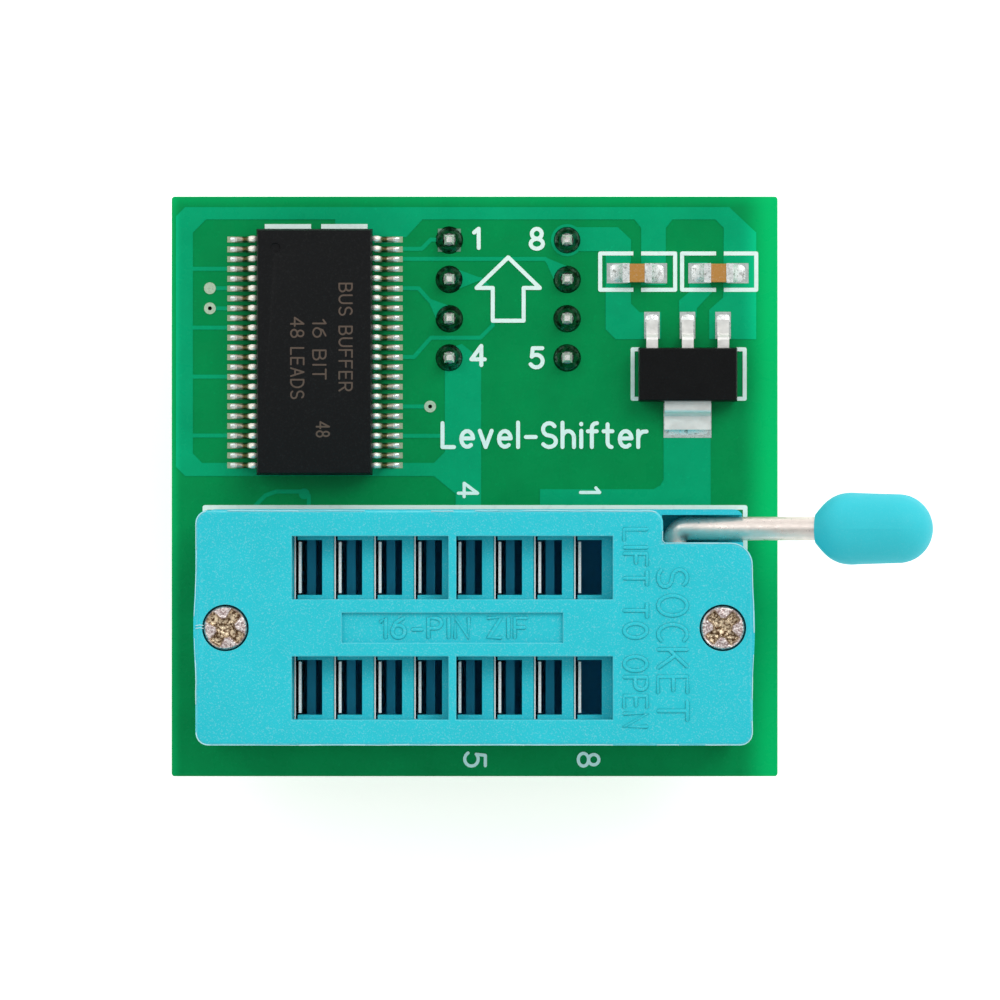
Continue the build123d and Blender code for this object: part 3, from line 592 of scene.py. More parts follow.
def copper_outlines():
    """Masked copper on the component side: pours as outlines, traces as lines of one width."""
    pours = [
        # frame round the board's upper half, and the wide trace from header pin 4 to the socket
        [(-21.5, 5.35), (-20.9, 5.95), (14.3, 5.95), (16.05, 4.3), (16.05, 3.5), (13.95, 3.5), (13.95, 4.6),
         (13.4, 5.15), (-19.55, 5.15), (-20.4, 4.3), (-20.4, -10.0), (-19.8, -10.6), (-4.8, -10.6),
         (-4.1, -9.9), (-4.1, -3.3), (-3.0, -2.9), (-1.75, -3.9), (-1.75, -14.0), (-3.4, -14.0),
         (-3.4, -12.6), (-4.8, -11.45), (-20.9, -11.45), (-21.5, -10.85)],
        # regulator ground and the second capacitor
        [(13.95, 5.2), (16.05, 4.3), (16.05, -2.6), (13.0, -2.6), (13.0, -0.7), (13.9, 0.1)],
        # from the top band to the buffer's first right lead
        [(-11.2, 5.3), (-11.2, 3.6), (-6.9, 3.6), (-6.9, 4.0), (-6.6, 4.0), (-5.5, 5.2), (-5.5, 5.3)],
        # header pin 8, the first capacitor and the regulator's first lead
        [(4.2, 4.65), (7.1, 4.65), (7.95, 3.85), (7.95, -0.3), (8.5, -0.85), (9.9, -0.85), (9.9, -2.6),
         (6.95, -2.6), (6.3, -1.95), (6.3, 3.1), (4.2, 3.1)],
        # first capacitor to the top band
        [(8.6, 0.9), (10.2, 0.9), (10.2, 4.6), (10.75, 5.3), (8.05, 5.3), (8.6, 4.6)],
        # regulator output to the second capacitor
        [(11.05, -1.2), (11.05, -0.1), (11.7, 0.45), (11.7, 2.4), (12.9, 2.4), (13.2, 0.45), (12.2, -0.6),
         (12.2, -1.2)],
        # regulator tab to the socket
        [(13.1, -8.8), (13.1, -14.2), (2.05, -14.2), (2.05, -12.3), (9.4, -12.3), (9.85, -12.05),
         (10.05, -11.7), (10.05, -8.8)],
    ]
    thin = [
        [(-17.6, 1.96), (-20.6, 1.96)], [(-17.6, -1.85), (-20.6, -1.85)],
        [(-17.6, -5.02), (-20.6, -5.02)], [(-17.6, -8.83), (-20.6, -8.83)],
        [(-17.6, 0.7), (-19.3, 0.7)], [(-17.6, -0.6), (-19.3, -0.6)],
        [(-7.2, 3.25), (-5.6, 3.25), (-5.0, 3.85), (-3.81, 3.81)],
        [(-7.2, 2.6), (2.4, 2.6), (3.0, 2.05), (3.81, 1.27)],
        [(-7.2, 0.7), (-5.8, 0.7), (-5.0, -0.2), (-3.81, -1.27)],
        [(-7.2, -3.75), (-6.1, -3.75), (-5.0, -2.5), (-1.8, -2.5), (-1.0, -1.7), (-1.0, 0.5),
         (-1.8, 1.3), (-3.81, 1.27)],
        [(-7.2, -6.95), (-5.05, -6.95)], [(-7.2, -8.85), (-3.9, -8.85)],
        [(-16.4, -13.4), (-15.7, -12.7), (-15.0, -12.45), (-13.4, -12.45), (-12.9, -12.7), (-12.9, -13.6)],
        [(2.5, -12.7), (4.4, -12.7)],
    ]
    shapes = [np.array(p, float) for p in pours]
    for line in thin:
        shapes += stroke(line, TRACE_WIDTH)
    shapes += [disc(2.5, -12.7, 0.42), disc(-13.2, -12.6, 0.35), disc(3.81, 3.81, 1.05)]
    flares = (((-3.81, -1.27), (-5.05, -0.1)), ((3.81, 1.27), (2.5, 2.55)), ((-3.81, 1.27), (-1.9, 1.3)))
    for pin, mouth in flares:
        pin, mouth = np.array(pin), np.array(mouth)
        side = np.array((-(mouth - pin)[1], (mouth - pin)[0]))
        side = side / np.linalg.norm(side)
        wide, narrow = side * 0.85, side * 0.12
        shapes.append(np.array([pin - wide, mouth - narrow, mouth + narrow, pin + wide]))
    return shapes


def contact_places():
    """Blade centre of each contact, in millimetres: its right face less half the metal."""
    return [(box_sides(name)[1] - CONTACT_METAL / 2, middle_of(name)[1]) for name in CONTACTS]


class ADAPTER_OT_board(Step, bpy.types.Operator):
    """Board finish: mask, laminate edge, masked copper, pads and vias"""

    bl_idname = "adapter.board"
    bl_label = "Board and copper"

    def build(self, colours, sizes):
        coat(solder_mask("solder_mask", colours.mask, colours.laminate), "circuit_board")
        masked = solder_mask("masked_copper", colours.copper_mask)
        x0, x1, y0, y1, _, _ = box_sides("plated_vias")
        near, far, bore = 0.38, 1.68, 0.22
        vias = [(x0 + near, y1 - near), (x0 + near, y1 - far), (x1 - near, y0 + near)]
        bores = [disc(x, y, bore) for x, y in vias[1:]]
        top = flat_union(copper_outlines(), BOARD_TOP - SINK, BOARD_TOP + sizes.copper_height, bores)
        mesh_piece("masked_copper_top", top, masked)
        tin = metal("tinned_pads", linear(214, 222, 220), 0.26, spot=0.4)
        dull = metal("first_pad_tin", linear(120, 160, 138), 0.4, spot=0.5)
        (x, y), half = middle_of(PINS[0]), 0.74
        first = box_outline(x - half, x + half, y - half, y + half)
        square = flat_union([first], BOARD_TOP - SINK, BOARD_TOP + PAD_RISE)
        mesh_piece("first_pin_pad", square, dull)
        pad_radius = 0.92
        rings = [disc(x, y, pad_radius, 28) for x, y in contact_places()]
        pads = flat_union(rings, BOARD_BOTTOM - PAD_RISE, BOARD_BOTTOM + SINK)
        mesh_piece("contact_pads", pads, tin)
        underside = [
            [(-20.9, 5.9), (16.4, 5.9), (16.4, 4.9), (-19.9, 4.9), (-19.9, -30.0), (-20.9, -30.0)],
            [(-1.6, 4.9), (1.6, 4.9), (1.6, -14.5), (0.9, -15.3), (-0.9, -15.3), (-1.6, -14.5)],
            [(5.9, 4.9), (16.4, 4.9), (16.4, -13.2), (15.6, -14.0), (6.9, -14.0), (5.9, -13.0)],
        ]
        shapes = [np.array(p, float) for p in underside]
        via_pad, under_trace, socket_row = 0.45, 0.3, -17.29
        shapes += [disc(x, y, via_pad) for x, y in vias]
        for x, y in ((-3.81, 1.27), (-3.81, -1.27), (3.81, -1.27), (3.81, -3.81)):
            bend = 1.5 * np.sign(x) * abs(y)
            shapes += stroke([(x, y), (x + bend, y - abs(bend)), (x + bend, socket_row)], under_trace)
        under = flat_union(shapes, BOARD_BOTTOM - sizes.copper_height, BOARD_BOTTOM + SINK)
        mesh_piece("masked_copper_under", under, masked)
        coat(metal("via_tin", linear(186, 212, 184), 0.34, spot=0.3, shine=0.4), "plated_vias")


# ---- ink
def printed_lines(width):
    """Outlines of everything printed on the component side."""
    shapes = []
    arrow = [(0, 2.7), (2.05, 0.72), (1.0, 0.72), (1.0, -1.4), (-1.0, -1.4), (-1.0, 0.72), (-2.05, 0.72)]
    shapes += stroke(arrow, width, closed=True)
    for x0, x1 in ((-15.75, -12.75), (-12.1, -9.1)):
        shapes.append(box_outline(x0, x1, 4.55, 4.85))
    for left, right, gap_start, gap_end in ((5.95, 10.8, 8.1, 8.6), (11.25, 16.05, 13.45, 13.95)):
        for sign, gap in ((-1, gap_start), (1, gap_end)):
            end = left if sign < 0 else right
            shapes += stroke([(gap, 0.6), (end, 0.6), (end, 2.95), (gap, 2.95)], width, round_ends=False)
    for x, out in ((8.5, 8.05), (14.75, 15.3)):
        shapes += stroke([(x, -3.25), (out, -3.25), (out, -6.45), (x, -6.45)], width, round_ends=False)
    socket_frame, frame_width = [(-19.62, -28.6), (15.33, -28.6), (15.33, -13.48), (-19.62, -13.48)], 0.3
    shapes += stroke(socket_frame, frame_width, closed=True)
    for text, height, centre, turn, share in (
        ("1", 1.5, (-2.12, 3.93), 0, 1), ("8", 1.55, (1.85, 3.9), 0, 1),
        ("4", 1.5, (-1.95, -3.65), 0, 1), ("5", 1.5, (1.85, -3.8), 0, 1),
        ("4", 1.5, (-2.6, -12.35), -90, 0.8), ("1", 1.5, (5.3, -12.3), -90, 0.8),
        ("5", 1.6, (-2.15, -29.8), -90, 0.8), ("8", 1.6, (5.2, -29.8), -90, 0.8),
    ):
        for line in lettering(text, height - width, centre, turn=turn):
            shapes += stroke(line, width * share)
    for line in lettering("Level-Shifter", 1.55, (2.35, -8.8), length=13.2):
        shapes += stroke(line, width)
    return shapes


class ADAPTER_OT_ink(Step, bpy.types.Operator):
    """Printed outlines, arrow, pin numbers and title"""

    bl_idname = "adapter.ink"
    bl_label = "Printed ink"

    def build(self, colours, sizes):
        base = BOARD_TOP + sizes.copper_height
        ink = flat_union(printed_lines(sizes.ink_line), BOARD_TOP - SINK, base + sizes.ink_height)
        mesh_piece("printed_ink", ink, ink_material("white_ink", colours.ink))


# ---- header
def cone_profile(foot, height, foot_radius, tip_radius, direction=1):
    """Concave solder fillet: the radius falls from foot to tip, fast at first, and a low crown closes it."""
    share = np.linspace(0, 1, 9)
    radius = tip_radius + (foot_radius - tip_radius) * (1 - share) ** 2.2
    rows = np.c_[radius, foot + direction * height * share]
    crown = [(tip_radius * 0.8, foot + direction * height * 1.04), (0.02, foot + direction * height * 1.05)]
    rows = np.concatenate([rows, crown])
    return rows if direction > 0 else rows[::-1]


class ADAPTER_OT_header(Step, bpy.types.Operator):
    """Header strips, pins and their solder"""

    bl_idname = "adapter.header"
    bl_label = "Header"

    def build(self, colours, sizes):
        black = moulding("header_black", linear(30, 30, 31), 0.5, grain=0.1, fleck=0.02)
        for side in ("left", "right"):
            softened(f"header_strip_{side}", sizes.edge, black)
        tin = metal("pin_tin", linear(236, 236, 230), 0.26, stain=linear(130, 124, 110), spot=0.3, dents=0.03)
        coat(tin, *PINS)
        resin = metal("joint_solder", linear(120, 128, 124), 0.16, stain=linear(44, 46, 40), stain_from=0.42,
                      spot=0.55, dents=0.02, shine=1.0)
        bright = metal("tail_solder", linear(196, 202, 200), 0.2, spot=0.5, dents=0.015)
        pins = [middle_of(name) for name in PINS]
        for node, places, foot, stretch, radii, direction, solder in (
            ("header_solder", pins, BOARD_TOP, 1.15, (0.9, 0.42), 1, resin),
            ("contact_solder", contact_places(), BOARD_BOTTOM, 1.0, (0.82, 0.3), -1, bright),
        ):
            low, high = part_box(node)
            profile = cone_profile(foot, (high.z - low.z) / MM * stretch, *radii, direction)
            cones = joined([revolved(x, y, profile) for x, y in places])
            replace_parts(mesh_piece(f"{node}_joints", cones, solder, smooth=True), node)


# ---- chips
def solder_wedge(start, end, half_width, top, foot, toe=0.75):
    """A solder fillet from start to end: its height falls as the square of the way still to go, and its
    sides draw in towards the toe and slope down into the pad, whose top is foot."""
    foot = foot - SINK
    start, end = np.array(start, float), np.array(end, float)
    along = np.linspace(0, 1, 6)[:, None]
    across = np.linspace(-1, 1, 7)[None]
    heading = (end - start) / np.linalg.norm(end - start)
    side = np.array((-heading[1], heading[0]))
    width = half_width * (1 - (1 - toe) * along ** 2)
    height = foot + (top - foot) * (1 - along) ** 2 * (1 - np.abs(across) ** 4)
    flat = start + along[..., None] * (end - start) + (across * width)[..., None] * side
    return np.concatenate([flat, height[..., None]], -1).reshape(-1, 3), grid_faces(6, 7)[:, ::-1]


class ADAPTER_OT_buffer(Step, bpy.types.Operator):
    """Bus buffer: moulding, faint marks, leads, pads and solder"""

    bl_idname = "adapter.buffer"
    bl_label = "Buffer chip"

    def build(self, colours, sizes):
        black = moulding("chip_epoxy", colours.chip, 0.5, grain=0.09, grain_depth=0.012, fleck=0.02)
        softened("buffer_chip_body", 0.06, black)
        x0, x1, y0, y1, _, top = box_sides("buffer_chip_body")
        middle = (y0 + y1) / 2
        shapes = []
        for text, x, y, length in (
            ("BUS BUFFER", 0.77, 0.94, 6.9), ("16 BIT", 0.545, 0.2, 3.9), ("48 LEADS", 0.355, -0.4, 5.2),
            ("48", 0.575, -5.0, 0.95),
        ):
            for line in lettering(text, 0.82, (x0 + (x1 - x0) * x, middle + y), length=length, turn=-90):
                shapes += stroke(line, 0.11)
        marks, mark_rise = ink_material("chip_mark_ink", linear(86, 72, 62), thin=0.5), 0.006
        mesh_piece("buffer_chip_marks", flat_union(shapes, top - SINK, top + mark_rise), marks)
        centre = (x0 + x1) / 2
        # painted light: bright knee and foot as painted highlights, the brownish slope between as painted
        # shade
        tin = lead_finish("lead_tin", centre, linear(250, 246, 234), linear(122, 104, 62))
        reach = (x1 - x0) / 2
        leads, lead_inset, pad_inset, thickness, half_metal = 24, 0.11, 0.19, 0.13, 0.07
        for side, sign in (("left", -1), ("right", 1)):
            name = f"buffer_chip_leads_{side}"
            lx0, lx1, ly0, ly1, lz0, lz1 = box_sides(name)
            toe = max(abs(lx0 - centre), abs(lx1 - centre))
            run = (-0.08, 0.1, 0.28, 0.46, 0.62, 0.8, 1.0)
            away = np.array([*(reach + step for step in run), toe - 0.12, toe])
            height = np.array([lz1, lz1, lz1 - 0.01, lz1 - 0.07, (lz0 + lz1) / 2, lz0 + 0.22, lz0 + 0.15,
                               lz0 + 0.14, lz0 + 0.14]) - half_metal
            widths = [0.24, 0.35, 0.37, 0.27, 0.2, 0.2, 0.21, 0.31, 0.27]
            path = np.c_[centre + sign * away, height]
            rows = np.linspace(ly0 + lead_inset, ly1 - lead_inset, leads)
            formed = joined([strip(path, widths, thickness, y) for y in rows])
            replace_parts(mesh_piece(f"{name}_formed", formed, tin, smooth=True), name)
        # painted shade: the pads are dark green in the band under the leads' slope
        pad_tin = lead_finish("chip_pad_tin", centre, linear(176, 196, 160), linear(24, 74, 34))
        coat(pad_tin, "buffer_chip_pads")
        coat(metal("pad_tin", linear(204, 214, 210), 0.3, spot=0.4), "regulator_pads", "capacitor_pads")
        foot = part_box("buffer_chip_pads")[1].z / MM
        parts = []
        px0, px1, py0, py1, _, _ = box_sides("buffer_chip_pads")
        lx0, lx1 = box_sides("buffer_chip_leads_left")[0], box_sides("buffer_chip_leads_right")[1]
        for y in np.linspace(py0 + pad_inset, py1 - pad_inset, leads):
            for start, end in ((lx0 + 0.1, px0 + 0.06), (lx1 - 0.1, px1 - 0.06)):
                parts.append(solder_wedge((start, y), (end, y), 0.17, foot + 0.16, foot))
        solder = metal("chip_solder", linear(214, 222, 218), 0.2, spot=0.4, dents=0.01)
        mesh_piece("buffer_chip_solder", joined(parts), solder, smooth=True)


class ADAPTER_OT_power(Step, bpy.types.Operator):
    """Regulator and capacitors with their solder"""

    bl_idname = "adapter.power"
    bl_label = "Regulator and capacitors"

    def build(self, colours, sizes):
        black = moulding("regulator_epoxy", scaled(colours.chip, 0.6), 0.45, grain=0.08, grain_depth=0.012,
                         fleck=0.01)
        softened("regulator_body", 0.06, black)
        leads = [name for name in sorted(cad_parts) if name.startswith("regulator_lead_")]
        coat(metal("regulator_tin", linear(236, 236, 232), 0.4, spot=0.8, brushed=(6, 1, 1), shine=0.5),
             *leads, "regulator_tab")
        solder = metal("power_solder", linear(232, 236, 234), 0.3, spot=0.3, dents=0.03, shine=0.5,
                       stain=linear(150, 152, 146), stain_from=0.5)
        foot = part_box("regulator_pads")[1].z / MM
        parts, overlap, margin, rise = [], 0.15, 0.04, 0.22
        near_pad, far_pad = box_sides("regulator_pads")[2:4]
        for name in leads:
            x0, x1, _, y1, _, _ = box_sides(name)
            x = (x0 + x1) / 2
            parts.append(solder_wedge((x, y1 - overlap), (x, far_pad - margin), 0.46, foot + rise, foot))
        x0, x1, y0, _, _, _ = box_sides("regulator_tab")
        x = (x0 + x1) / 2
        parts.append(solder_wedge((x, y0 + overlap), (x, near_pad + margin), 1.5, foot + rise, foot,
                                  toe=0.95))
        run = 0.85
        ceramic = moulding("capacitor_ceramic", colours.ceramic, 0.4, grain=0.12, grain_depth=0.006)
        for side in ("left", "right"):
            softened(f"capacitor_{side}_block", 0.04, ceramic)
            softened(f"capacitor_{side}_ends", 0.06, solder)
            x0, x1, y0, y1, z0, z1 = box_sides(f"capacitor_{side}_ends")
            y = (y0 + y1) / 2
            for start, end in ((x0 + margin, x0 - run), (x1 - margin, x1 + run)):
                parts.append(solder_wedge((start, y), (end, y), 0.6, z0 + (z1 - z0) * 0.8, foot, toe=0.9))
        mesh_piece("power_solder_joints", joined(parts), solder, smooth=True)


# ---- socket
def strip(path, widths, thickness, y):
    """Sheet metal bent in the XZ plane: a rectangle of changing width carried along the path."""
    path = np.asarray(path, float)
    heading = np.gradient(path, axis=0)
    heading /= np.linalg.norm(heading, axis=1, keepdims=True)
    across = np.c_[heading[:, 1], -heading[:, 0]] * thickness / 2
    half = np.asarray(widths, float)[:, None] / 2
    rings = []
    for side, edge in ((1, -1), (1, 1), (-1, 1), (-1, -1)):
        flat = path + side * across
        rings.append(np.c_[flat[:, :1], y + edge * half, flat[:, 1:]])
    points = np.stack(rings, 1).reshape(-1, 3)
    count = len(path)
    faces = [tuple(f) for f in grid_faces(count, 4, wrap=True)]
    faces += [(3, 2, 1, 0), tuple(range(4 * count - 4, 4 * count))]
    return points, faces


SWELL, SWELL_REACH = 0.13, 3.6  # bulge of the cover's ends, and how far from the middle it goes, in mm


def bulge(share):
    """The cover's end bulges most in the middle, at 0, and not at all at -1 and 1."""
    return SWELL * (1 - share ** 2) ** 2


def within(distance, wall):
    """0 outside an edge, rising to 1 where the distance inside it is the wall's width."""
    return np.clip(distance / wall, 0, 1)


class ADAPTER_OT_socket(Step, bpy.types.Operator):
    """Socket mouldings, moulded letters, screws and contacts"""

    bl_idname = "adapter.socket"
    bl_label = "Socket"

    def build(self, colours, sizes):
        teal = moulding("socket_moulding", colours.socket, 0.42, pale_edge=0.15)
        inner = moulding("comb_moulding", scaled(colours.socket, 1.02), 0.45)
        x0, x1, y0, y1, z0, z1 = box_sides("socket_base")
        # painted light: inside the well under the windows the base is tinted brighter and bluer
        well = ((x0 + x1) / 2 - 3.4, (y0 + y1) / 2, (z0 + z1) / 2), (13.2, 6.4, (z1 - z0) / 2 - 0.4)
        base_with_painted_light = moulding("base_moulding", colours.socket, 0.45, inside=(linear(70, 216, 255), *well))
        softened("socket_cover", sizes.edge, teal)
        softened("socket_base", sizes.edge, base_with_painted_light)
        softened("socket_slider", 0.04, inner, body="comb")
        self.letters(sizes)
        self.flash(colours)
        self.screws()
        self.contacts()

    def letters(self, sizes):
        """Soft raised letters in the sunk panel and beside the windows."""
        y0, y1 = box_sides("socket_cover")[2:4]
        middle = (y0 + y1) / 2
        panel_x, panel_depth, letter_width = -3.54, 0.3, 0.27
        rows = (
            ("16-PIN ZIF", 1.25, (panel_x, middle), 9.4, 0, COVER_TOP - panel_depth),
            ("LIFT TO OPEN", 1.45, (8.05, middle), 12.5, -90, COVER_TOP),
            ("SOCKET", 1.85, (10.4, middle - 1.05), 9.6, -90, COVER_TOP),
        )
        parts = []
        for text, height, centre, length, turn, base in rows:
            for line in lettering(text, height, centre, length=length, turn=turn):
                parts.append(ridge(line, letter_width, sizes.letter_height, base))
        # painted shade: the letters' sloping sides are darkened to 0.4 of the moulding colour
        raised = moulding("letter_moulding", bpy.context.scene.adapter_colours.socket, 0.42, sides=0.4)
        mesh_piece("moulded_letters", joined(parts), raised, smooth=True)

    def flash(self, colours):
        """A thin ragged line of moulding flash round the cover's top edge, and a swell at each end."""
        x0, x1, y0, y1, _, _ = box_sides("socket_cover")
        notch_x, notch_y = box_sides("lever_rod")[0] - 0.1, -15.7
        corner, notch_corner, sharp, step = 0.8, 1.4, 0.02, 0.28
        path = rounded([
            (x0, y0, corner), (x1, y0, corner), (x1, notch_y, notch_corner), (notch_x, notch_y, sharp),
            (notch_x, y1, corner), (x0, y1, corner)], step)
        draw = np.random.default_rng(11)
        steps = len(path)
        wander = np.convolve(draw.normal(0, 1, steps + 4), np.ones(5) / 5, "valid")
        inward = np.gradient(path, axis=0)[:, ::-1] * (-1, 1)
        inward /= np.linalg.norm(inward, axis=1, keepdims=True)
        inset, waver = 0.04, 0.02
        path = path + inward * (inset + waver * wander[:, None])
        middle = (y0 + y1) / 2
        share = np.clip((path[:, 1] - middle) / SWELL_REACH, -1, 1)
        at_end = np.minimum(path[:, 0] - x0, x1 - path[:, 0]) < 0.5
        path[:, 0] += np.sign(path[:, 0] - x0 - 1) * bulge(share) * at_end
        pale = moulding("flash_moulding", tuple(c + (1 - c) * 0.4 for c in colours.socket[:3]), 0.5)
        rise, pieces, kept_share = 0.03, 70, 0.8
        marks = np.linspace(0, steps - 1, pieces).astype(int)
        runs = [ridge(path[a:b + 1], draw.uniform(0.035, 0.075), rise, COVER_TOP - 0.018)
                for a, b in zip(marks[:-1], marks[1:]) if draw.random() < kept_share]
        split = np.array([(x0 + 0.03, middle + 0.05), (x0 + 0.26, middle + 0.1), (x0 + 0.5, middle + 0.06)])
        runs += [ridge(split + (0, side), 0.07, rise, COVER_TOP - 0.005) for side in (-0.09, 0.09)]
        mesh_piece("cover_flash", joined(runs), pale, smooth=True)
        teal = bpy.data.materials["socket_moulding"]
        share = np.linspace(-1, 1, 15)
        for side, edge, out in (("left", x0, -1), ("right", x1, 1)):
            line = np.c_[edge + out * bulge(share), middle + SWELL_REACH * share]
            back = [(edge - out * SWELL, middle + reach) for reach in (SWELL_REACH, -SWELL_REACH)]
            outline = np.concatenate([line, back])
            swell = flat_union([outline], COVER_TOP - 3.9, COVER_TOP - 0.04)
            mesh_piece(f"cover_swell_{side}", swell, teal)

    def screws(self):
        """Screws with a worn cross recess: the head's height falls inside a flared cross, plus burrs."""
        worn = Finish("screw_plating", roughness=0.34, metallic=0.7)
        recess = worn.node("ShaderNodeAttribute", attribute_name="recess").outputs["Fac"]
        scuff = worn.ramp(worn.noise(0.14, detail=4, roughness=0.7), 0.38, 0.6)
        rim = worn.mix(scuff, linear(150, 124, 122), linear(240, 230, 226))
        bare = worn.ramp(worn.noise(0.2, detail=4), 0.4, 0.62)
        brass = worn.mix(bare, linear(88, 62, 38), linear(236, 216, 184))
        worn.colour(worn.mix(recess, rim, brass))
        worn.bumps(worn.noise(0.16, detail=5), 0.05, 0.9)
        draw = np.random.default_rng(5)
        tip, shank, point, head = 0.5, 0.85, 0.34, 1.0
        arm_half, arm_flare, arm_wall, end_wall, centre, centre_wall = 0.3, 0.1, 0.1, 0.22, 0.64, 0.12
        crown_rise, arm_depth, centre_depth = 0.05, 0.34, 0.12
        for side, turn, arm in (("left", 55, 1.34), ("right", 42, 1.28)):
            name = f"cover_screw_{side}"
            x0, x1, y0, y1, z0, z1 = box_sides(name)
            x, y, radius = (x0 + x1) / 2, (y0 + y1) / 2, (x1 - x0) / 2
            outer = [(tip, z0), (shank, z0 + point), (shank, z1 - head), (radius, z1 - head),
                     (radius, z1 - 0.14), (radius - 0.05, z1 - 0.04)]
            inner = [(r, z1) for r in np.linspace(radius - 0.14, 0.01, 34)]
            points, faces = revolved(x, y, outer + inner, sides=96)
            flat = points[:, :2] - (x, y)
            angle = np.radians(turn)
            along = flat @ np.array((np.cos(angle), np.sin(angle)))
            across = flat @ np.array((-np.sin(angle), np.cos(angle)))
            reach = np.linalg.norm(flat, axis=1)
            depth = within(centre - reach, centre_wall)
            for u, v in ((along, across), (across, along)):
                half = arm_half + arm_flare * np.abs(u)
                inside = within(half - np.abs(v), arm_wall) * within(arm - np.abs(u), end_wall)
                depth = np.maximum(depth, inside)
            burr = np.zeros(len(flat))
            for _ in range(60):
                at = draw.normal(0, 0.5, 2)
                burr += draw.uniform(-0.09, 0.1) * np.exp(-((flat - at) ** 2).sum(1) / 0.008)
            top = points[:, 2] > z1 - 0.001
            crown = crown_rise * (1 - (reach / radius) ** 2)
            sunk = depth * (arm_depth + centre_depth * np.exp(-reach ** 2 / 0.2))
            points[:, 2] += top * (crown - sunk + burr * 0.8)
            piece = mesh_piece(f"{name}_worn", (points, faces), worn.material,
                               smooth=True)
            mark = piece.data.attributes.new("recess", "FLOAT", "POINT")
            mark.data.foreach_set("value", np.clip(top * depth * 1.3, 0, 1).astype(np.float32))
            piece.data.set_sharp_from_angle(angle=np.radians(50))
            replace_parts(piece, name)

    def contacts(self):
        """Each contact as a fixed blade with its tail, and a bent leaf."""
        plating = metal("contact_plating", linear(255, 253, 248), 0.3, spot=0.3, dents=0.03, shine=0.2)
        comb_high = box_sides("socket_slider")[5]
        parting = comb_high - 2.0
        standoff, base_floor, gap, radius = 0.5, 1.5, 0.15, 0.425
        floor = BOARD_TOP + standoff + base_floor + gap + CONTACT_METAL / 2
        lean, head, leaf_width, head_width, leaf_metal = 0.25, 1.3, 2.9, 4.1, 0.07
        blade_width, blade_metal, tail_width = 3.25, 0.17, 0.5

        def bend(x, start):
            """The quarter circle at the foot of a blade or a leaf."""
            turn = np.radians(np.linspace(start, start + 90, 6))
            return np.c_[x - radius + radius * np.cos(turn), floor + radius + radius * np.sin(turn)]

        for name, (x, y) in zip(CONTACTS, contact_places()):
            z0, z1 = box_sides(name)[4:]
            upper = [(x - lean, z) for z in (z1, z1 - head, z1 - head - 0.001, parting)]
            flex = np.linspace((x - 0.28, parting - 0.3), (x - 0.85, floor + 0.95), 8)
            path = np.concatenate([upper, flex, bend(x, 180)])
            widths = np.full(len(path), leaf_width)
            widths[:2] = head_width
            leaf = mesh_piece(f"{name}_leaf", strip(path, widths, leaf_metal, y), plating, body=None)
            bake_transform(leaf)
            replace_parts(leaf, name)
            upright = [(x, floor + 1.2), (x + 0.06, parting), (x + 0.06, comb_high - 0.4)]
            path = np.concatenate([bend(x, 270), upright])
            blade = strip(path, np.full(len(path), blade_width), blade_metal, y)
            tail = strip([(x, z0), (x, z0 + 0.15), (x, floor + 0.6)], [0.3, tail_width, tail_width],
                         blade_metal, y)
            mesh_piece(f"{name}_blade", joined([blade, tail]), plating)


class ADAPTER_OT_lever(Step, bpy.types.Operator):
    """Lever rod and knob"""

    bl_idname = "adapter.lever"
    bl_label = "Lever"

    def build(self, colours, sizes):
        coat(metal("rod_plating", linear(232, 220, 212), 0.36, spot=0.6, dents=0.01, brushed=(1, 8, 8),
                   shine=0.75), "lever_rod")
        knob = moulding("knob_moulding", colours.knob, 0.5, grain=0.3, grain_depth=0.006, fleck=0.06)
        coat(knob, "lever_knob")


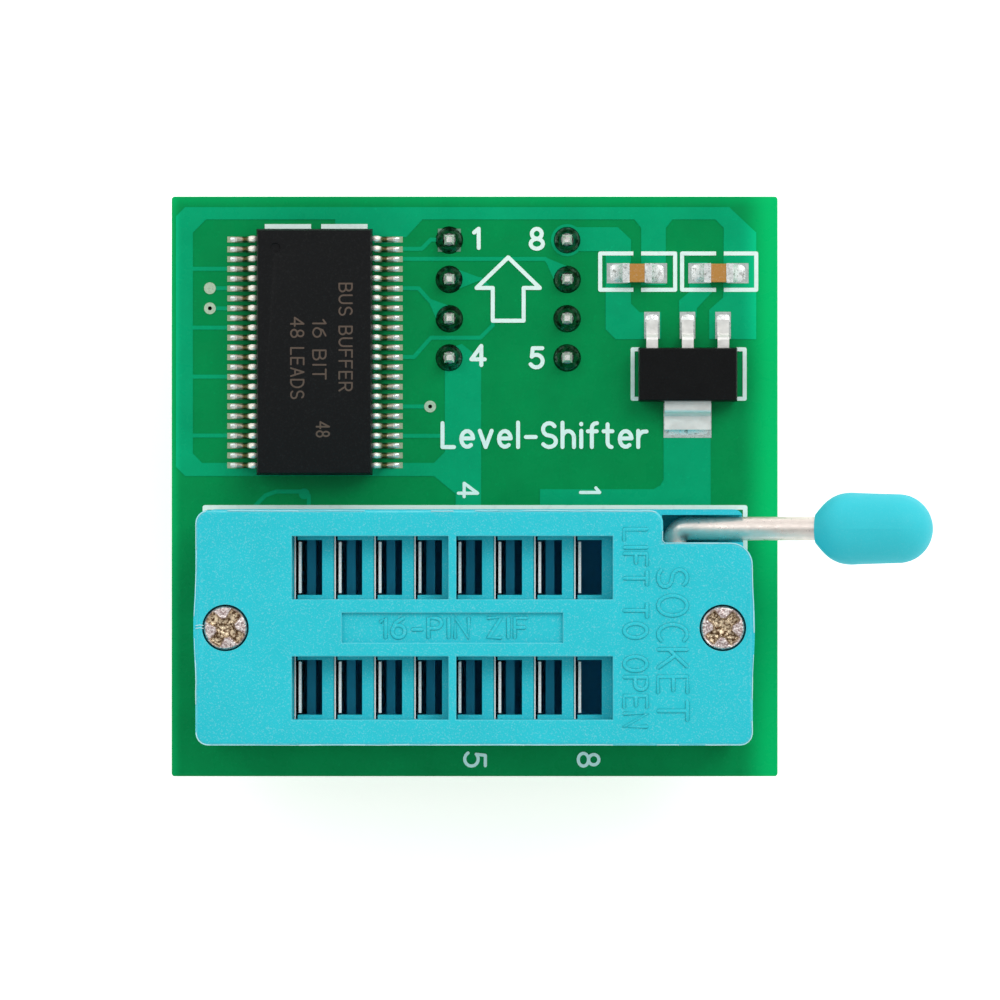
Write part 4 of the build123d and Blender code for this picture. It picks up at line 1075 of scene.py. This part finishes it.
# ---- stage
class ADAPTER_OT_stage(Step, bpy.types.Operator):
    """Pale floor, soft light and the camera"""

    bl_idname = "adapter.stage"
    bl_label = "Stage"

    def build(self, colours, sizes):
        scene, collection = bpy.context.scene, bpy.context.collection
        floor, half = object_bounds()[0].z / MM, 900.0
        points = [(x, y, floor) for x, y in box_outline(-half, half, -half, half)]
        sheet = mesh_piece("stage_floor", (points, [(0, 1, 2, 3)]), floor_material(), body=None)
        sheet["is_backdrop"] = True
        world = bpy.data.worlds.new("studio")
        world.use_nodes = True
        nodes, links = world.node_tree.nodes, world.node_tree.links
        towards = nodes.new("ShaderNodeTexCoord").outputs["Generated"]
        split = nodes.new("ShaderNodeSeparateXYZ")
        links.new(towards, split.inputs[0])
        overhead = nodes.new("ShaderNodeMapRange")
        overhead.interpolation_type = "SMOOTHSTEP"
        for name, value in (("From Min", 0.55), ("From Max", 0.95), ("To Min", 0.95), ("To Max", 0.4)):
            overhead.inputs[name].default_value = value
        links.new(split.outputs["Z"], overhead.inputs["Value"])
        links.new(overhead.outputs[0], nodes["Background"].inputs["Strength"])
        nodes["Background"].inputs["Color"].default_value = (1, 1, 1, 1)
        scene.world = world
        for name, place, size, power in (
            ("key_panel", (0.26, 0.28, 0.42), 0.3, 1.25),
            ("fill_panel", (-0.28, 0.2, 0.5), 0.35, 0.6),
        ):
            light = bpy.data.lights.new(name, "AREA")
            light.size = size
            light.energy = power
            panel = bpy.data.objects.new(name, light)
            panel.location = place
            aim = Vector((0, -0.012, 0.01))
            panel.rotation_euler = (aim - panel.location).to_track_quat("-Z", "Y").to_euler()
            collection.objects.link(panel)
        camera = bpy.data.objects.new("camera", bpy.data.cameras.new("camera"))
        distance, field, sensor = 0.560, 0.0647, 36.0
        camera.location = (-0.00053, -0.0130, BOARD_TOP * MM + distance)
        camera.data.sensor_width = sensor
        camera.data.lens = sensor * distance / field
        camera.data.clip_start, camera.data.clip_end = 0.01, 10.0
        collection.objects.link(camera)
        scene.camera = camera
        scene.view_settings.view_transform = "Standard"


class ADAPTER_PT_panel(bpy.types.Panel):
    """Lists the steps and their settings"""

    bl_label = "Adapter board"
    bl_space_type = "VIEW_3D"
    bl_region_type = "UI"
    bl_category = "Adapter"

    def draw(self, context):
        for operator in STEPS:
            self.layout.operator(operator.bl_idname)
        for settings in (context.scene.adapter_colours, context.scene.adapter_sizes):
            for name in settings.__annotations__:
                self.layout.prop(settings, name)


STEPS = (
    ADAPTER_OT_board, ADAPTER_OT_ink, ADAPTER_OT_header, ADAPTER_OT_buffer, ADAPTER_OT_power,
    ADAPTER_OT_socket, ADAPTER_OT_lever, ADAPTER_OT_stage,
)
CLASSES = (AdapterColours, AdapterSizes, *STEPS, ADAPTER_PT_panel)


def register():
    for made in CLASSES:
        bpy.utils.register_class(made)
    bpy.types.Scene.adapter_colours = bpy.props.PointerProperty(type=AdapterColours)
    bpy.types.Scene.adapter_sizes = bpy.props.PointerProperty(type=AdapterSizes)


def unregister():
    del bpy.types.Scene.adapter_sizes
    del bpy.types.Scene.adapter_colours
    for made in reversed(CLASSES):
        bpy.utils.unregister_class(made)


def main():
    """Runs every step in order."""
    register()
    for operator in STEPS:
        group, name = operator.bl_idname.split(".")
        getattr(getattr(bpy.ops, group), name)()


if __name__ == "__main__":
    main()
